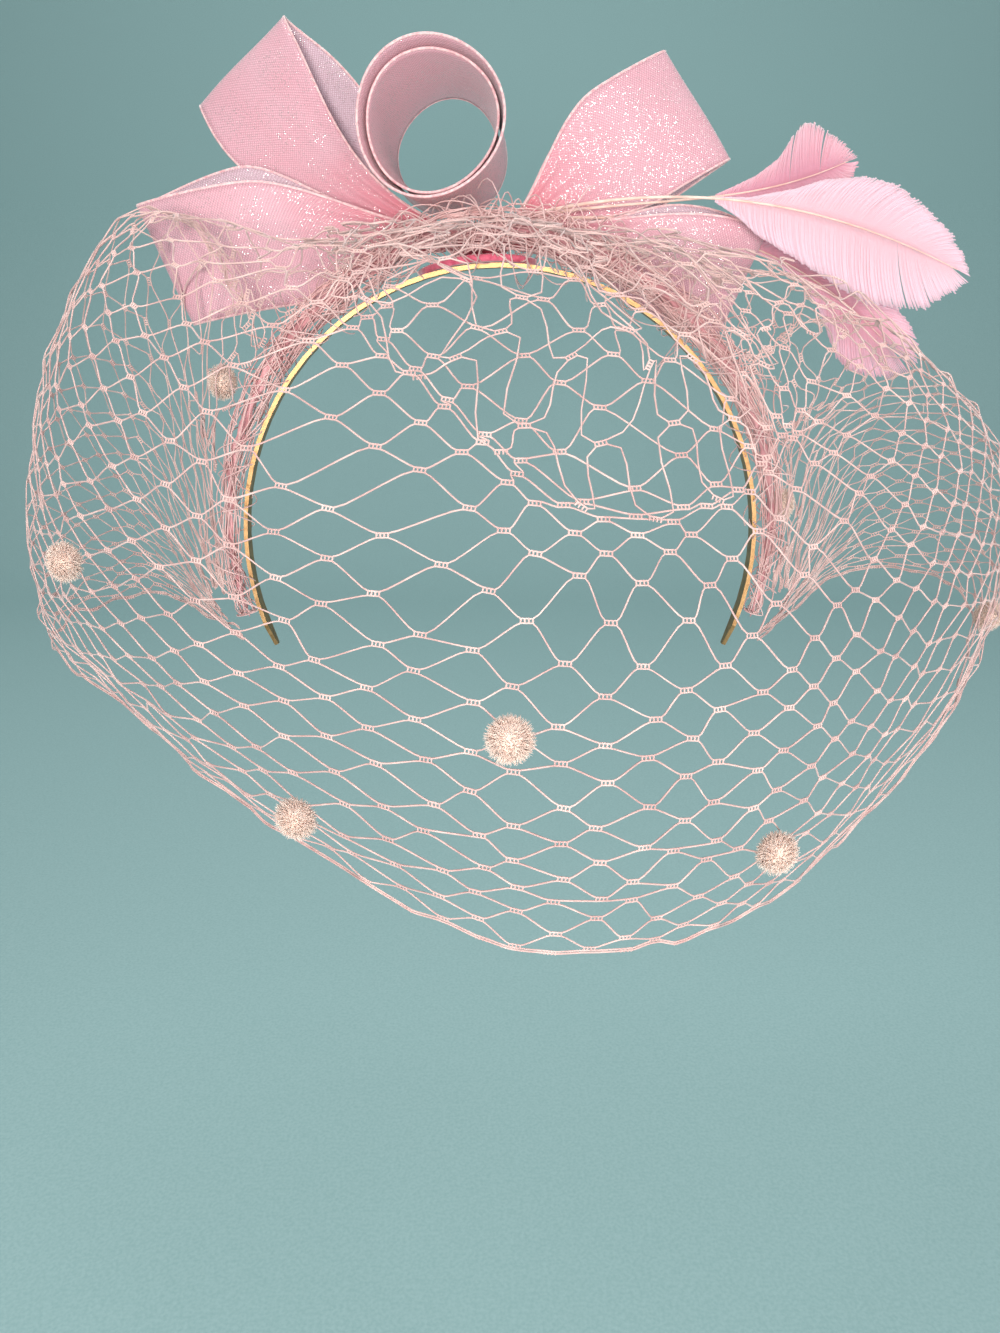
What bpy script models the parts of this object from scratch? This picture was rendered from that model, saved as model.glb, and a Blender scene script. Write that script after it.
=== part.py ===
"""Birdcage veil on a headband: a bag of open diamond net gathered over the crown and
falling round the face to a free hem, dressed with a ribbon bow, a curl and three feathers.

Lengths are in metres, +Z is up and the wearer looks along -Y. The origin is the underside
of the headband at the crown of the head, where the veil sits.
"""
import math
from collections import namedtuple

import bmesh
import bpy
from mathutils import Matrix, Vector

# Headband: an oval arch of flat metal, open below
BAND_HALF_WIDTH = 0.076
BAND_HALF_HEIGHT = 0.078
BAND_END_DEG = 114.0
BAND_BREADTH = 0.005
BAND_THICKNESS = 0.0012
BAND_STATIONS = 44
BAND_TIP_SHARE = 0.4

# Roll of bunched net along the headband
ROLL_CROWN_RADIUS = 0.0052
ROLL_END_RADIUS = 0.0024
ROLL_END_DEG = 106.0
ROLL_FORWARD = 0.3
ROLL_RIB_DEPTH = 0.0009
ROLL_RIBS = 23
ROLL_STATIONS = 70
ROLL_SIDES = 8
ROLL_RIB_TWIST = 1.5
ROLL_TIP_SHARE = 0.3
ROLL_TIP_POWER = 12

# Felt base between the headband and the bow
FELT_HALF_LENGTH = 0.017
FELT_HALF_BREADTH = 0.015
FELT_THICKNESS = 0.002
FELT_CENTRE = Vector((-0.006, 0.010, 0.0))
FELT_SIDES = 24
FELT_RINGS = 3
FELT_EASE = 0.4

# Net bag: the sizes that its section table is in shares of
VEIL_HALF_WIDTH = 0.150
VEIL_REACH = 0.110
VEIL_DROP = 0.150
NET_COLUMNS = 11
NET_ROWS = 6
NET_THICKNESS = 0.0012
CURVE_MARKS = 16
NET_STRAND = 0.0030

# Ribbon of the bow, and how far its loops stand from the knot
BOW_REACH = 0.100
RIBBON_WIDTH = 0.035
RIBBON_THICKNESS = 0.001
RIBBON_ROOT_WIDTH = 0.007
RIBBON_ROOT_OPENING = 0.0025
LOOP_STATIONS = 20
LOOP_STRIPS = 4
PLEAT_DEPTH = 0.0012

# Knot that draws the loops together
KNOT_HALF_SIZE = Vector((0.0105, 0.0065, 0.0042))
KNOT_PLACE = Vector((-0.006, 0.016, 0.0))
KNOT_PLEATS = 5
KNOT_PLEAT_SHARE = 0.08

# Round curl of ribbon that stands over the knot
CURL_RADIUS = 0.0200
CURL_STATIONS = 28

# Feathers: how far they reach from the knot, and the vane of the widest one
FEATHER_REACH = 0.130
VANE_HALF_WIDTH = 0.0175
FEATHER_THICKNESS = 0.001
QUILL_HALF_WIDTH = 0.0009
RACHIS_TIP_HALF_WIDTH = 0.0004
FEATHER_LOCKS = 9
LOCK_GAP_SHARE = 0.14
LOCK_START_SHARE = 0.6
LOCK_START_LEAD = 0.35
LOCK_TIP_LEAD = 0.5
QUILL_STATIONS = 4

# Chenille dots on the net
DOT_RADIUS = 0.0044
DOT_TUFT = 1.18
DOT_FLATTENING = 0.72

# Gap between pieces that touch
CLEARANCE = 0.0003

# Sections of the net bag from the wearer's right ear (left in front view) round the face.
# band_deg: place of the root on the headband; leave_deg: way that the net leaves the roll,
# 0 straight out and 90 forward; crest, belly and hem: control points in shares of the
# half width (x), the reach (y) and the drop (z).
Section = namedtuple("Section", "name band_deg leave_deg crest belly hem")
VEIL_SECTIONS = [
    Section("left_end", -104, 0, (-0.62, 0.10, -0.56), (-0.66, 0.16, -0.66), (-0.56, 0.10, -0.74)),
    Section("left_back", -80, 0, (-0.70, 0.45, -0.14), (-0.95, 0.50, -0.42), (-0.80, 0.35, -0.69)),
    Section("left_side", -60, 30, (-0.54, 0.00, 0.50), (-1.02, -0.05, -0.28), (-0.91, -0.07, -0.71)),
    Section("left_front", -42, 55, (-0.58, -0.23, 0.40), (-0.95, -0.52, -0.42), (-0.66, -0.38, -0.80)),
    Section("left_cheek", -24, 75, (-0.33, -0.62, 0.15), (-0.57, -0.91, -0.47), (-0.36, -0.73, -0.89)),
    Section("centre", -2, 80, (0.00, -0.68, 0.08), (0.01, -1.15, -0.59), (0.01, -1.00, -0.98)),
    Section("right_cheek", 16, 75, (0.27, -0.65, 0.09), (0.48, -1.05, -0.57), (0.33, -0.89, -1.00)),
    Section("right_front", 34, 65, (0.50, -0.41, 0.17), (0.80, -0.77, -0.53), (0.60, -0.56, -0.98)),
    Section("right_cheekbone", 50, 45, (0.60, -0.18, 0.17), (1.07, -0.32, -0.40), (0.87, -0.25, -0.82)),
    Section("right_side", 66, 10, (0.68, 0.10, -0.05), (1.23, 0.18, -0.30), (1.01, 0.18, -0.66)),
    Section("right_back", 84, -10, (0.72, 0.50, -0.22), (1.02, 0.62, -0.42), (0.84, 0.48, -0.66)),
    Section("right_end", 104, 0, (0.62, 0.10, -0.56), (0.66, 0.16, -0.66), (0.56, 0.10, -0.74)),
]

# Dots by their place on the net: share along the strip and share from root to hem
Dot = namedtuple("Dot", "along down")
DOTS = [
    Dot(0.295, 0.700),
    Dot(0.143, 0.095),
    Dot(0.456, 0.756),
    Dot(0.388, 0.912),
    Dot(0.556, 0.887),
    Dot(0.787, 0.963),
    Dot(0.925, 0.118),
]

# Flat loops. root: where they leave the knot, in shares of its half size; fold_low and
# fold_high: ends of the fold at the tip from the knot's middle, in shares of the bow's
# reach; opening and bend: depth and sideways bow in shares of the ribbon's width; taper:
# share of the length that is drawn in
Loop = namedtuple("Loop", "name root fold_low fold_high opening bend taper")
LOOPS = [
    Loop("loop_upper_left", (-0.92, 0.49, 0.30), (-0.825, 0.20, 0.396), (-0.571, 0.20, 0.622),
         0.186, -0.274, 0.90),
    Loop("loop_upper_right", (0.98, 0.54, 0.54), (0.742, 0.16, 0.252), (0.550, 0.16, 0.518),
         0.171, 0.057, 0.75),
    Loop("loop_lower_left", (-1.04, -0.55, 0.18), (-0.853, -0.02, -0.210), (-0.974, -0.02, 0.079),
         0.143, 0.086, 0.60),
    Loop("loop_lower_right", (1.08, -0.55, 0.30), (0.702, 0.00, -0.287), (0.837, 0.00, 0.020),
         0.129, 0.086, 0.95),
]

# Rims of the curl. size: share of the curl's radius; aside: place across the knot's middle,
# in shares of the bow's reach; behind: place back from it, in shares of the ribbon's width;
# lift: height of the rim's underside over it, in shares of the knot's half height
Rim = namedtuple("Rim", "name size aside behind lift")
CURL_FRONT = Rim("front", 1.00, -0.127, -0.514, 2.32)
CURL_BACK = Rim("back", 0.86, -0.087, 0.486, 1.92)

# Feathers. root: start of the quill from the knot's middle, in shares of its half size;
# rise, fall and tip: control points of the quill, in shares of the feathers' reach; vane:
# half width in shares of the widest; vane_start: where the vane starts along the quill
Feather = namedtuple("Feather", "name root rise fall tip vane vane_start cup facing")
FEATHERS = [
    Feather("feather_upper", (0.505, -0.215, 1.226), (0.356, -0.031, 0.102), (0.587, -0.031, 0.056),
            (0.825, -0.031, 0.171), 0.63, 0.58, 0.25, (-0.1, -1.0, 0.2)),
    Feather("feather_large", (0.505, -0.554, 1.107), (0.433, -0.100, 0.140), (0.779, -0.123, 0.063),
            (1.056, -0.154, -0.083), 1.00, 0.42, 0.15, (-0.2, -1.0, 0.1)),
    Feather("feather_lower", (0.505, 0.062, 1.131), (0.395, -0.008, 0.087), (0.741, 0.138, 0.033),
            (0.987, 0.031, -0.244), 0.60, 0.52, 0.20, (-0.1, -1.0, 0.1)),
]


def smooth_step(x):
    """Ease from 0 to 1 as x goes from 0 to 1."""
    x = min(max(x, 0.0), 1.0)
    return x * x * (3.0 - 2.0 * x)


def cubic(points, share):
    """Point on the curve with four control points."""
    a, b, c, d = (Vector(point) for point in points)
    rest = 1.0 - share
    return rest ** 3 * a + 3.0 * rest * rest * share * b + 3.0 * rest * share * share * c + share ** 3 * d


def make_material(name, colour, roughness, metallic=0.0):
    """Principled material in one plain finish."""
    material = bpy.data.materials.new(name)
    material.use_nodes = True
    shader = material.node_tree.nodes["Principled BSDF"]
    shader.inputs["Base Color"].default_value = (*colour, 1.0)
    shader.inputs["Roughness"].default_value = roughness
    shader.inputs["Metallic"].default_value = metallic
    return material


def make_object(name, bm, material, wall=0.0):
    """Object from a bmesh, with a wall of the given thickness about its surface."""
    bmesh.ops.recalc_face_normals(bm, faces=bm.faces)
    mesh = bpy.data.meshes.new(name)
    bm.to_mesh(mesh)
    bm.free()
    mesh.materials.append(material)
    mesh.shade_smooth()
    piece = bpy.data.objects.new(name, mesh)
    collection.objects.link(piece)
    if wall:
        solidify = piece.modifiers.new("wall", "SOLIDIFY")
        solidify.thickness = wall
        solidify.offset = 0.0
    return piece


def grid_faces(bm, rows, closed_rows=False, closed_across=False):
    """Quads between neighbouring rows of vertices."""
    row_count = len(rows)
    across = len(rows[0])
    for i in range(row_count if closed_rows else row_count - 1):
        near, far = rows[i], rows[(i + 1) % row_count]
        for k in range(across if closed_across else across - 1):
            k_next = (k + 1) % across
            bm.faces.new((near[k], near[k_next], far[k_next], far[k]))


def band_point(angle, lift=0.0, y=0.0):
    """Point at a lift above the headband's underside, by the angle from the crown."""
    x = (BAND_HALF_WIDTH + lift) * math.sin(angle)
    z = (BAND_HALF_HEIGHT + lift) * math.cos(angle) - BAND_HALF_HEIGHT
    return Vector((x, y, z))


def band_outward(angle):
    """Direction straight out of the headband."""
    return Vector((math.sin(angle) / BAND_HALF_WIDTH, 0.0, math.cos(angle) / BAND_HALF_HEIGHT)).normalized()


def build_headband():
    """Flat metal arch with rounded ends."""
    bm = bmesh.new()
    rows = []
    end = math.radians(BAND_END_DEG)
    for i in range(BAND_STATIONS + 1):
        share = 2.0 * i / BAND_STATIONS - 1.0
        angle = end * share
        to_end = (1.0 - abs(share)) * end * BAND_HALF_WIDTH
        rounding = min(to_end / (0.5 * BAND_BREADTH), 1.0)
        half = 0.5 * BAND_BREADTH * max(math.sqrt(1.0 - (1.0 - rounding) ** 2), BAND_TIP_SHARE)
        rows.append([bm.verts.new(band_point(angle, 0.5 * BAND_THICKNESS, y)) for y in (-half, 0.0, half)])
    grid_faces(bm, rows)
    return make_object("headband", bm, gold, BAND_THICKNESS)


def roll_radius(angle):
    """Mean radius of the bunched roll at an angle from the crown."""
    share = abs(angle) / math.radians(ROLL_END_DEG)
    return ROLL_END_RADIUS + (ROLL_CROWN_RADIUS - ROLL_END_RADIUS) * math.cos(0.5 * math.pi * share)


def roll_reach(angle):
    """Radius over the ribs."""
    return roll_radius(angle) + ROLL_RIB_DEPTH


def roll_centre(angle):
    """Middle of the roll: on the headband, and lifted over the felt near the crown."""
    x = BAND_HALF_WIDTH * math.sin(angle) - FELT_CENTRE.x
    beyond_felt = (abs(x) - FELT_HALF_LENGTH) / (FELT_EASE * FELT_HALF_LENGTH)
    over_felt = (FELT_THICKNESS + CLEARANCE) * (1.0 - smooth_step(beyond_felt))
    lift = BAND_THICKNESS + CLEARANCE + over_felt
    centre = band_point(angle, lift) + band_outward(angle) * roll_reach(angle)
    centre.y = -ROLL_FORWARD * roll_reach(angle)
    return centre


def build_net_gather():
    """Ribbed roll of bunched net."""
    bm = bmesh.new()
    rows = []
    end = math.radians(ROLL_END_DEG)
    for i in range(ROLL_STATIONS + 1):
        share = 2.0 * i / ROLL_STATIONS - 1.0
        angle = end * share
        tip = max(math.sqrt(1.0 - abs(share) ** ROLL_TIP_POWER), ROLL_TIP_SHARE)
        outward = band_outward(angle)
        ring = []
        for k in range(ROLL_SIDES):
            turn = 2.0 * math.pi * k / ROLL_SIDES
            rib = ROLL_RIB_DEPTH * math.cos(ROLL_RIBS * angle + ROLL_RIB_TWIST * turn)
            radius = (roll_radius(angle) + rib) * tip
            ring.append(bm.verts.new(roll_centre(angle)
                                     + outward * radius * math.cos(turn)
                                     + Vector((0.0, -radius * math.sin(turn), 0.0))))
        rows.append(ring)
    grid_faces(bm, rows, closed_across=True)
    bm.faces.new(rows[0])
    bm.faces.new(reversed(rows[-1]))
    return make_object("net_gather", bm, bunched_net)


def felt_point(x, y, lift):
    """Point over the headband's arch at a sideways place, at a lift above its underside."""
    return band_point(math.asin(x / BAND_HALF_WIDTH), lift, y)


def build_felt_base():
    """Oval of felt bent over the headband."""
    bm = bmesh.new()
    lift = BAND_THICKNESS + CLEARANCE + 0.5 * FELT_THICKNESS
    middle = bm.verts.new(felt_point(FELT_CENTRE.x, FELT_CENTRE.y, lift))
    rows = []
    for number in range(1, FELT_RINGS + 1):
        share = number / FELT_RINGS
        ring = []
        for k in range(FELT_SIDES):
            turn = 2.0 * math.pi * k / FELT_SIDES
            x = FELT_CENTRE.x + share * FELT_HALF_LENGTH * math.cos(turn)
            y = FELT_CENTRE.y + share * FELT_HALF_BREADTH * math.sin(turn)
            ring.append(bm.verts.new(felt_point(x, y, lift)))
        rows.append(ring)
    grid_faces(bm, rows, closed_across=True)
    for k in range(FELT_SIDES):
        bm.faces.new((middle, rows[0][k], rows[0][(k + 1) % FELT_SIDES]))
    return make_object("felt_base", bm, felt, FELT_THICKNESS)


def shares_to_point(shares):
    """Point of the net bag from its shares of the bag's sizes."""
    return Vector((shares[0] * VEIL_HALF_WIDTH, shares[1] * VEIL_REACH, shares[2] * VEIL_DROP))


def section_controls(section):
    """Four control points of a section, from the roll to the hem."""
    angle = math.radians(section.band_deg)
    leave = math.radians(section.leave_deg)
    way = band_outward(angle) * math.cos(leave) + Vector((0.0, -math.sin(leave), 0.0))
    stand_off = roll_reach(angle) + CLEARANCE + 0.5 * NET_THICKNESS
    root = roll_centre(angle) + way * stand_off
    return [root] + [shares_to_point(shares) for shares in (section.crest, section.belly, section.hem)]


def blend_rows(before, start, end, after, share):
    """Catmull-Rom value between start and end."""
    return 0.5 * ((2.0 * start) + (end - before) * share
                  + (2.0 * before - 5.0 * start + 4.0 * end - after) * share ** 2
                  + (3.0 * start - before - 3.0 * end + after) * share ** 3)


def even_share(curve, share):
    """Share of the curve's parameter at a share of its length."""
    marks = [cubic(curve, k / CURVE_MARKS) for k in range(CURVE_MARKS + 1)]
    lengths = [(far - near).length for near, far in zip(marks, marks[1:])]
    wanted = share * sum(lengths)
    for k, length in enumerate(lengths):
        if wanted <= length or k == CURVE_MARKS - 1:
            return (k + wanted / length) / CURVE_MARKS
        wanted -= length


def veil_point(along, down):
    """Point of the net bag, by the share along the strip and from root to hem."""
    controls = [section_controls(section) for section in VEIL_SECTIONS]
    place = min(max(along, 0.0), 1.0) * (len(controls) - 1)
    row = min(int(place), len(controls) - 2)
    around = [controls[min(max(row + step, 0), len(controls) - 1)] for step in (-1, 0, 1, 2)]
    curve = [blend_rows(*(c[k] for c in around), place - row) for k in range(4)]
    return cubic(curve, even_share(curve, down))


def veil_outward(along, down):
    """Direction out of the bag."""
    step = 0.01
    across = veil_point(along + step, down) - veil_point(along - step, down)
    downward = veil_point(along, min(down + step, 1.0)) - veil_point(along, down - step)
    return downward.cross(across).normalized()


def lattice_knots():
    """Shares of every knot of the coarse net; the knots nearest to the dots carry them."""
    knots = {}
    for row in range(2 * NET_ROWS + 1):
        shift = 0.5 * (row % 2)
        for column in range(NET_COLUMNS + 1 - row % 2):
            knots[(column + shift, row)] = ((column + shift) / NET_COLUMNS, row / (2 * NET_ROWS))
    for dot in DOTS:
        place = veil_point(dot.along, dot.down)
        nearest = min(knots, key=lambda key: (veil_point(*knots[key]) - place).length)
        knots[nearest] = (dot.along, dot.down)
    return knots


def build_net():
    """Coarse diamond net, cut through, on the bag's surface."""
    bm = bmesh.new()
    knots = lattice_knots()
    verts = {}

    def knot_vertex(key):
        if key not in verts:
            verts[key] = bm.verts.new(veil_point(*knots[key]))
        return verts[key]

    def strand_vertex(key_a, key_b):
        key = (min(key_a, key_b), max(key_a, key_b))
        if key not in verts:
            (along_a, down_a), (along_b, down_b) = knots[key_a], knots[key_b]
            verts[key] = bm.verts.new(veil_point(0.5 * (along_a + along_b), 0.5 * (down_a + down_b)))
        return verts[key]

    cells = []
    for row in range(1, 2 * NET_ROWS):
        shift = 0.5 * (row % 2)
        for column in range(NET_COLUMNS - row % 2):
            left = (column + shift, row)
            right = (column + shift + 1, row)
            top = (column + shift + 0.5, row - 1)
            bottom = (column + shift + 0.5, row + 1)
            corners = (left, bottom, right, top)
            loop = []
            for k in range(4):
                loop.append(knot_vertex(corners[k]))
                loop.append(strand_vertex(corners[k], corners[(k + 1) % 4]))
            cells.append(bm.faces.new(loop))
    bmesh.ops.recalc_face_normals(bm, faces=bm.faces)
    bmesh.ops.inset_individual(bm, faces=cells, thickness=0.5 * NET_STRAND, use_even_offset=True)
    bmesh.ops.delete(bm, geom=cells, context="FACES_ONLY")
    return make_object("net", bm, net_thread, NET_THICKNESS)


def build_dot(index, dot):
    """Tufted ball, flattened against the knot that it is tied on."""
    bm = bmesh.new()
    bmesh.ops.create_icosphere(bm, subdivisions=2, radius=DOT_RADIUS)
    tufts = [vert for vert in bm.verts if len(vert.link_edges) == 5]
    for vert in tufts:
        vert.co *= DOT_TUFT
    outward = veil_outward(dot.along, dot.down)
    turn = Vector((0.0, 0.0, 1.0)).rotation_difference(outward).to_matrix().to_4x4()
    stand_off = 0.5 * NET_THICKNESS + CLEARANCE + DOT_FLATTENING * DOT_RADIUS * DOT_TUFT
    place = Matrix.Translation(veil_point(dot.along, dot.down) + outward * stand_off)
    bmesh.ops.transform(bm, matrix=place @ turn @ Matrix.Diagonal((1.0, 1.0, DOT_FLATTENING, 1.0)),
                        verts=bm.verts)
    return make_object("dot_%d" % index, bm, chenille)


def knot_centre():
    """Middle of the bow's knot, which rests on the felt."""
    seat = felt_point(KNOT_PLACE.x, KNOT_PLACE.y, BAND_THICKNESS + 2.0 * CLEARANCE + FELT_THICKNESS)
    return seat + Vector((0.0, 0.0, KNOT_HALF_SIZE.z))


def from_knot(shares, size):
    """Point at shares of a size from the knot's middle."""
    return knot_centre() + Vector(shares) * size


def build_bow_centre():
    """Gathered knot with pleats."""
    bm = bmesh.new()
    bmesh.ops.create_uvsphere(bm, u_segments=14, v_segments=8, radius=1.0)
    for vert in bm.verts:
        turn = math.atan2(vert.co.z, vert.co.y)
        pleat = 1.0 - KNOT_PLEAT_SHARE * (1.0 + math.cos(KNOT_PLEATS * turn)) * (1.0 - abs(vert.co.x))
        vert.co = Vector((vert.co.x * KNOT_HALF_SIZE.x,
                          vert.co.y * KNOT_HALF_SIZE.y * pleat,
                          vert.co.z * KNOT_HALF_SIZE.z * pleat))
        vert.co += knot_centre()
    return make_object("bow_centre", bm, deep_ribbon)


def build_loop(loop):
    """Ribbon that goes out to a fold and back, drawn in at the knot."""
    bm = bmesh.new()
    root = from_knot(loop.root, KNOT_HALF_SIZE)
    low, high = from_knot(loop.fold_low, BOW_REACH), from_knot(loop.fold_high, BOW_REACH)
    reach = 0.5 * (low + high) - root
    across = (high - low).normalized()
    facing = reach.cross(across).normalized()
    if facing.y > 0.0:
        facing.negate()
    rows = []
    for i in range(LOOP_STATIONS):
        turn = 2.0 * math.pi * (i + 0.5) / LOOP_STATIONS
        out = 0.5 * (1.0 - math.cos(turn))
        open_share = math.copysign(math.sqrt(abs(math.sin(turn))), math.sin(turn))
        opening = loop.opening * RIBBON_WIDTH * math.sin(turn) * out
        depth = 0.5 * RIBBON_ROOT_OPENING * open_share + opening
        spread = smooth_step(out / loop.taper)
        width = RIBBON_ROOT_WIDTH + (RIBBON_WIDTH - RIBBON_ROOT_WIDTH) * spread
        bow = loop.bend * RIBBON_WIDTH * math.sin(math.pi * out)
        middle = root + reach * out + across * bow
        row = []
        for k in range(LOOP_STRIPS + 1):
            side = k / LOOP_STRIPS - 0.5
            pleat = PLEAT_DEPTH * (1.0 - spread) * math.cos(4.0 * math.pi * side)
            row.append(bm.verts.new(middle + across * width * side + facing * (depth + pleat)))
        rows.append(row)
    grid_faces(bm, rows, closed_rows=True)
    return make_object(loop.name, bm, ribbon, RIBBON_THICKNESS)


def rim_centre(rim):
    """Middle of a rim of the curl."""
    return knot_centre() + Vector((rim.aside * BOW_REACH, rim.behind * RIBBON_WIDTH,
                                   rim.lift * KNOT_HALF_SIZE.z + rim.size * CURL_RADIUS))


def build_bow_curl():
    """Full round of ribbon, wider in front than behind."""
    bm = bmesh.new()
    front, back = rim_centre(CURL_FRONT), rim_centre(CURL_BACK)
    axis = (back - front).normalized()
    side = Vector((1.0, 0.0, 0.0))
    side = (side - axis * side.dot(axis)).normalized()
    up = side.cross(axis)
    rows = []
    for i in range(CURL_STATIONS):
        turn = 2.0 * math.pi * i / CURL_STATIONS
        row = []
        for k in range(LOOP_STRIPS + 1):
            share = k / LOOP_STRIPS
            radius = CURL_RADIUS * (CURL_FRONT.size + (CURL_BACK.size - CURL_FRONT.size) * share)
            middle = front + (back - front) * share
            row.append(bm.verts.new(middle + (side * math.sin(turn) + up * math.cos(turn)) * radius))
        rows.append(row)
    grid_faces(bm, rows, closed_rows=True)
    return make_object("bow_curl", bm, ribbon, RIBBON_THICKNESS)


def build_feather(feather):
    """Quill with a vane on each side, its barbs parted into locks at the edge."""
    bm = bmesh.new()
    facing = Vector(feather.facing).normalized()
    half_width = feather.vane * VANE_HALF_WIDTH
    line = [from_knot(feather.root, KNOT_HALF_SIZE)]
    line += [from_knot(shares, FEATHER_REACH) for shares in (feather.rise, feather.fall, feather.tip)]

    def frame(share):
        here = cubic(line, share)
        ahead = (cubic(line, min(share + 0.01, 1.0)) - cubic(line, share - 0.01)).normalized()
        sideways = ahead.cross(facing).normalized()
        return here, ahead, sideways, sideways.cross(ahead)

    def vane_width(share):
        x = (share - feather.vane_start) / (1.0 - feather.vane_start)
        return half_width * math.sqrt(max(math.sin(math.pi * x ** 0.8), 0.0)) * (0.75 + 0.25 * x)

    def vane_vertex(share, hand, out, lead):
        here, ahead, sideways, normal = frame(share)
        reach = vane_width(share) * out
        dip = feather.cup * reach * reach / half_width
        return bm.verts.new(here + sideways * hand * (reach + RACHIS_TIP_HALF_WIDTH)
                            + ahead * lead * reach - normal * dip)

    stations = [feather.vane_start * k / QUILL_STATIONS for k in range(QUILL_STATIONS)]
    vane_length = 1.0 - feather.vane_start
    locks = [feather.vane_start + vane_length * k / FEATHER_LOCKS for k in range(FEATHER_LOCKS + 1)]
    rachis = []
    for share in stations + locks:
        here, _, sideways, normal = frame(share)
        half = QUILL_HALF_WIDTH + (RACHIS_TIP_HALF_WIDTH - QUILL_HALF_WIDTH) * share
        rachis.append([bm.verts.new(here + sideways * hand * half) for hand in (-1.0, 1.0)])
    grid_faces(bm, rachis)
    for column, hand in enumerate((-1.0, 1.0)):
        inner = [pair[column] for pair in rachis[QUILL_STATIONS:]]
        starts = [vane_vertex(share, hand, LOCK_START_SHARE, LOCK_START_LEAD) for share in locks[1:-1]]
        middle = [inner[0]] + starts + [inner[-1]]
        for k in range(FEATHER_LOCKS):
            start, end = locks[k], locks[k + 1]
            corners = [inner[k], inner[k + 1], middle[k + 1], middle[k]]
            bm.faces.new(list(dict.fromkeys(corners)))
            gap = LOCK_GAP_SHARE * (end - start)
            tips = [vane_vertex(share, hand, 1.0, LOCK_TIP_LEAD) for share in (end - gap, start + gap)]
            bm.faces.new([middle[k], middle[k + 1]] + tips)
    return make_object(feather.name, bm, feather_materials[feather.name], FEATHER_THICKNESS)


for old in list(bpy.data.objects):
    bpy.data.objects.remove(old)

collection = bpy.data.collections.new("birdcage_veil")
bpy.context.scene.collection.children.link(collection)

gold = make_material("gold_metal", (0.83, 0.62, 0.30), 0.28, 1.0)
net_thread = make_material("net_thread", (0.86, 0.68, 0.68), 0.6)
bunched_net = make_material("bunched_net", (0.80, 0.52, 0.54), 0.7)
felt = make_material("pink_felt", (0.80, 0.22, 0.33), 0.95)
ribbon = make_material("crin_ribbon", (0.86, 0.60, 0.63), 0.45)
deep_ribbon = make_material("crin_ribbon_deep", (0.80, 0.42, 0.47), 0.5)
chenille = make_material("chenille", (0.90, 0.72, 0.64), 0.9)
feather_materials = {
    "feather_upper": make_material("feather_deep", (0.82, 0.50, 0.58), 0.75),
    "feather_large": make_material("feather_pale", (0.92, 0.76, 0.79), 0.75),
    "feather_lower": make_material("feather_mid", (0.86, 0.55, 0.62), 0.75),
}

build_headband()
build_net_gather()
build_felt_base()
build_net()
for number, spot in enumerate(DOTS, 1):
    build_dot(number, spot)
build_bow_centre()
for ribbon_loop in LOOPS:
    build_loop(ribbon_loop)
build_bow_curl()
for plume in FEATHERS:
    build_feather(plume)
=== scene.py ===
"""Looks of the birdcage veil: thread net, bunched gather, ribbon bow, feathers and dots.

Metres, +Z up, the wearer looks along -Y, origin under the headband at the crown.
"""
import math

import bmesh
import bpy
import numpy as np
from mathutils import Matrix, Vector


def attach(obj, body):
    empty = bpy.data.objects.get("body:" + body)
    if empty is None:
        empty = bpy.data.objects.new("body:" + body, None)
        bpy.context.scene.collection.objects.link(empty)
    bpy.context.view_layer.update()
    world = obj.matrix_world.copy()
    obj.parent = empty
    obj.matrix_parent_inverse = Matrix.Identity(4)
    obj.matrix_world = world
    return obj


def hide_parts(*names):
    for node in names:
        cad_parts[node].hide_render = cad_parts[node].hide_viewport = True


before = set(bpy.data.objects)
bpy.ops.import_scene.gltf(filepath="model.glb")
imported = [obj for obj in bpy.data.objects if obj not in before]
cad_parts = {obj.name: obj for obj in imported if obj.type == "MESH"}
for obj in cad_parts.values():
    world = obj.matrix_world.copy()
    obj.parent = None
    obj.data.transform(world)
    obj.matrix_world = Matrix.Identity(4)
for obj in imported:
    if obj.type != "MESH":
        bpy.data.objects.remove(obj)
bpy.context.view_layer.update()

# Headband and roll of the frame, which the net hangs from
BAND_HALF_WIDTH = 0.076
BAND_HALF_HEIGHT = 0.078
BAND_THICKNESS = 0.0012
ROLL_CROWN_RADIUS = 0.0052
ROLL_END_RADIUS = 0.0024
ROLL_END_DEG = 106.0
ROLL_FORWARD = 0.3
ROLL_RIB_DEPTH = 0.0009
FELT_HALF_LENGTH = 0.017
FELT_HALF_BREADTH = 0.015
FELT_THICKNESS = 0.002
FELT_RINGS = 8
FELT_SIDES = 64
FELT_CENTRE = (-0.006, 0.010)
CLEARANCE = 0.0003

# Net bag, as in the frame
VEIL_HALF_WIDTH = 0.150
VEIL_REACH = 0.110
VEIL_DROP = 0.150
LATTICE_THICKNESS = 0.0012
CURVE_MARKS = 16

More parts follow.
